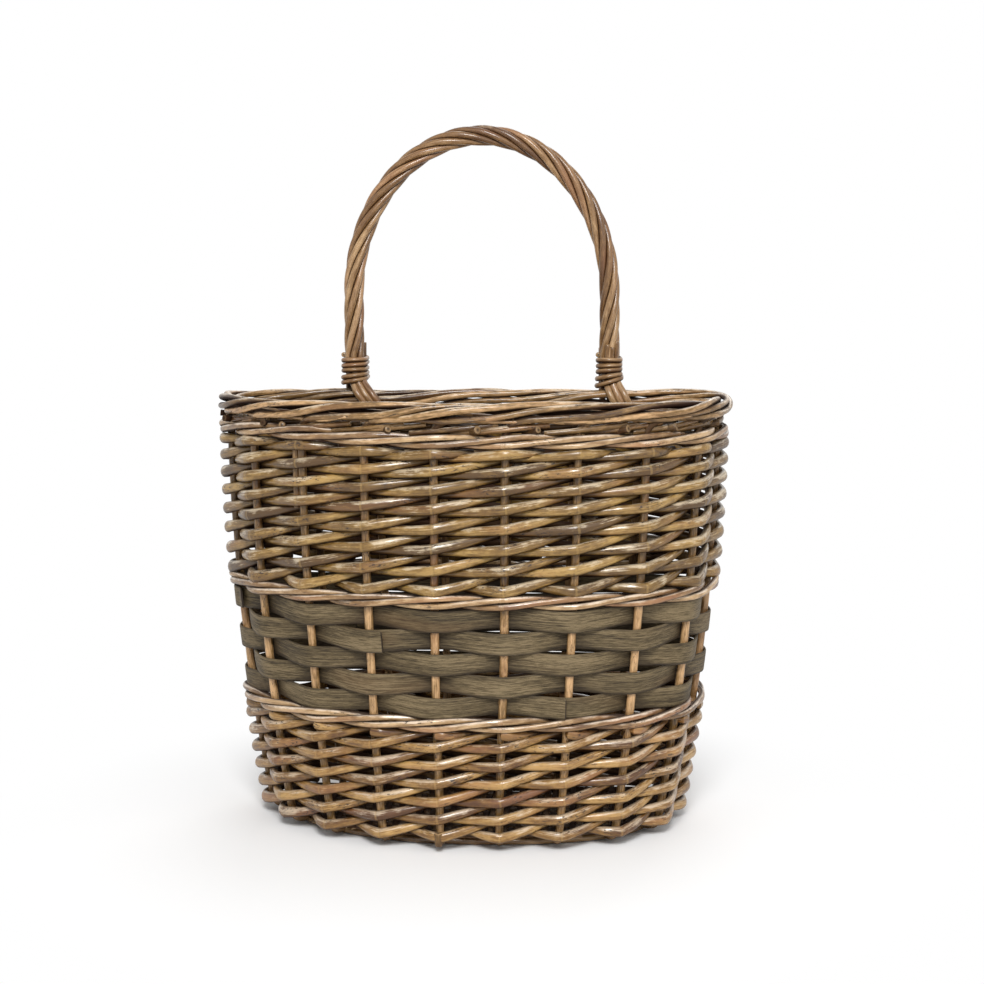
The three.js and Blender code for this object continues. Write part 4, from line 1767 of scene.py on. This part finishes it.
@dataclass
class Base:
    """The woven base: long sticks with rods woven across them and a rod round its edge."""

    wall: Wall
    sticks: int = 6
    stick: float = 1.6 * MM
    weaver: float = 1.15 * MM
    weaver_half: float = 1.9 * MM
    sides: int = 10
    inset: float = 1.5 * MM
    rim_inset: float = 3.4 * MM
    shortest: float = 14 * MM
    front_margin: float = 7 * MM
    back_margin: float = 5 * MM
    side_margins: float = 6 * MM
    weaver_gap: float = 0.2 * MM

    def _edge(self, inset: float) -> np.ndarray:
        """The base's outline.

        Args:
            inset: Distance kept from the wall's inner face.

        Returns:
            Points of the outline in the shared frame.
        """
        s = self.wall.sizes
        reach = s.weaver_offset + s.weaver_breadth + s.gap + inset
        return self.wall.place(self._turn(), 0, -reach)

    def _turn(self) -> np.ndarray:
        """Places once round the wall."""
        return np.linspace(0, self.wall.sizes.stakes, 361)[:-1]

    def _ends(self, at: float, axis: int) -> tuple:
        """Where a straight rod laid across the base starts and ends.

        Args:
            at: Its place on one axis.
            axis: That axis: 0 for a rod from front to back and 1 for one from left to right.

        Returns:
            Its ends on the other axis, or two zeros if it misses the base.
        """
        edge = self._edge(self.inset)
        ends = []
        for a, b in zip(edge, np.roll(edge, -1, axis=0)):
            if (a[axis] - at) * (b[axis] - at) <= 0 and a[axis] != b[axis]:
                share = (at - a[axis]) / (b[axis] - a[axis])
                ends.append(a[1 - axis] + share * (b[1 - axis] - a[1 - axis]))
        return (min(ends), max(ends)) if len(ends) > 1 else (0.0, 0.0)

    def _inside(self, points: np.ndarray, _across: np.ndarray, _upward: np.ndarray) -> np.ndarray:
        """Painted shade, darker towards the side that faces into the basket."""
        height = points[..., 2] - self.wall.sizes.foot_thickness / 2
        return np.clip(0.35 + height / (4 * MM), 0.1, 1)

    def build(self) -> None:
        """Weaves the base."""
        bundle = Bundle("base_weave", self.sides)
        middle = self.wall.sizes.foot_thickness / 2
        edge = self._edge(self.rim_inset)
        low, high = edge.min(axis=0), edge.max(axis=0)
        rows = np.linspace(low[1] + self.front_margin, high[1] - self.back_margin, self.sticks)
        for y in rows:
            left, right = self._ends(y, 1)
            line = spaced(np.array([[left, y, middle], [right, y, middle]]), 6 * MM)
            side = np.tile((0, 1, 0), (len(line), 1))
            bundle.add(Rod(line, side, self.stick, self.stick, self._inside, 0.45))
        pitch = 2 * self.weaver_half + self.weaver_gap
        count = int((high[0] - low[0] - self.side_margins) / pitch)
        offset = (high[0] + low[0] - (count - 1) * pitch) / 2
        for number in range(count):
            x = offset + number * pitch
            front, back = self._ends(x, 0)
            if back - front < self.shortest:
                continue
            y = np.linspace(front, back, int((back - front) / (2 * MM)) + 2)
            phase = np.interp(y, rows, np.arange(self.sticks))
            flip = 1 if number % 2 else -1
            z = middle + flip * (self.stick + self.weaver) * 0.95 * np.cos(math.pi * phase)
            line = np.stack([x + 0.2 * MM * drift(y, 0.04, number), y, z], axis=1)
            side = np.tile((1, 0, 0), (len(line), 1))
            tone = bundle.random.uniform(0.2, 0.75)
            bundle.add(Rod(line, side, self.weaver_half, self.weaver, self._inside, tone))
        turn = self._turn()
        inward = -self.wall.outward(turn, np.zeros(len(turn)))
        half = self.weaver_half
        for number in (0, 1):
            sway = np.sin(math.pi * turn + math.pi * number)
            rim = self._edge(half) - inward * (0.5 * MM * sway)[:, None]
            rim[:, 2] = middle + 0.97 * half * (1 if number else -1) + 0.12 * MM * sway
            tone = 0.5 + 0.25 * np.sin(turn * 1.4 + number)
            bundle.add(Rod(rim, inward, half, half, self._inside, tone, closed=True))
        dress(bundle.build(), BASE.material(), ["woven_base"])


@dataclass
class Studio:
    """Camera, pale floor and plain soft light at the photograph's viewing angle."""

    eye: tuple = (0.0685, -1.1087, 0.3285)
    pitch: float = math.radians(6.64)
    yaw: float = 0.05
    focal_pixels: float = 1890.0
    sensor: float = 36.0
    paper: tuple = (0.97, 0.97, 0.97, 1)
    paper_fade: tuple = (0.14, 0.3)
    room_light: float = 0.43
    aim: tuple = (0, 0, 0.2)
    lamps: tuple = (
        ("key_lamp", (0.05, -1.5, 1.25), 0.6, 29),
        ("fill_lamp", (1.1, -1.0, 0.9), 1.2, 4),
        ("back_lamp", (0.2, 1.4, 1.3), 1.2, 8),
    )

    def camera(self) -> None:
        """Makes the camera."""
        data = bpy.data.cameras.new("photo_camera")
        data.sensor_width = self.sensor
        data.lens = self.sensor * self.focal_pixels / PHOTO_SIZE
        data.clip_end = 20
        camera = bpy.data.objects.new("photo_camera", data)
        camera.location = self.eye
        camera.rotation_euler = (math.pi / 2 - self.pitch, 0, self.yaw)
        bpy.context.scene.collection.objects.link(camera)
        bpy.context.scene.camera = camera

    def floor(self) -> None:
        """Makes the pale floor, which keeps the shadow near the basket and is white farther off."""
        bpy.ops.object.select_all(action="DESELECT")
        bpy.ops.mesh.primitive_plane_add(size=8, location=(0, 0, -0.5 * MM))
        floor = bpy.context.object
        floor.name = "pale_floor"
        bpy.ops.object.transform_apply(location=True, rotation=True, scale=True)
        g = Graph(bpy.data.materials.new("floor_paper"), "Principled BSDF")
        g.put(g.shader, {"Base Color": self.paper, "Roughness": 0.9, "Specular IOR Level": 0.0})
        place = g.node("ShaderNodeTexCoord", {}, {}, "Object")
        away = g.node("ShaderNodeVectorMath", {"operation": "LENGTH"}, {0: place}, "Value")
        white = g.node("ShaderNodeEmission", {}, {"Color": WHITE, "Strength": 1.0})
        factor = g.seen() * away.above(*self.paper_fade)
        shown = g.node("ShaderNodeMixShader", {}, {0: factor, 1: Wire(g, g.shader.outputs[0]), 2: white})
        g.put(g.tree.nodes["Material Output"], {"Surface": shown})
        floor.data.materials.append(g.owner)

    def lights(self) -> None:
        """Makes the white surroundings and the soft lamps that face the basket."""
        world = bpy.data.worlds.new("white_room")
        bpy.context.scene.world = world
        g = Graph(world, "Background")
        values = {"Value": g.seen(), "To Min": self.room_light, "To Max": 1.0}
        g.put(g.shader, {"Color": WHITE, "Strength": g.node("ShaderNodeMapRange", {}, values)})
        for name, place, size, power in self.lamps:
            data = bpy.data.lights.new(name, "AREA")
            data.size = size
            data.energy = power
            lamp = bpy.data.objects.new(name, data)
            lamp.location = place
            aim = Vector(self.aim) - Vector(place)
            lamp.rotation_euler = aim.to_track_quat("-Z", "Y").to_euler()
            bpy.context.scene.collection.objects.link(lamp)


def frame_shift(wall: WallSizes, handle: HandleSizes) -> Vector:
    """Works out the shift from the CAD source's own place to the shared frame.

    Args:
        wall: Driving sizes of the wall.
        handle: Driving sizes of the handle.

    Returns:
        The shift.
    """
    left, right = (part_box(name) for name in ("left_binding", "right_binding"))
    middle = (left[0].x + left[1].x + right[0].x + right[1].x) / 4
    inset = wall.weaver_offset + wall.weaver_breadth + wall.gap
    return Vector((middle - handle.aside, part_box("woven_base")[1].y + inset, 0))


def main() -> None:
    """Builds the basket and its studio."""
    logging.basicConfig(level=logging.INFO, format="%(name)s: %(message)s")
    sizes = WallSizes()
    shift = frame_shift(sizes, HandleSizes())
    log.info("shift to the shared frame: %.5f %.5f %.5f", *shift)
    wall = Wall(sizes, shift)
    studio = Studio()
    studio.camera()
    for maker in (Weave(wall), Stakes(wall), Handle(wall), Base(wall)):
        maker.build()
    studio.floor()
    studio.lights()
    bpy.context.scene.view_settings.view_transform = "Standard"


if __name__ == "__main__":
    main()
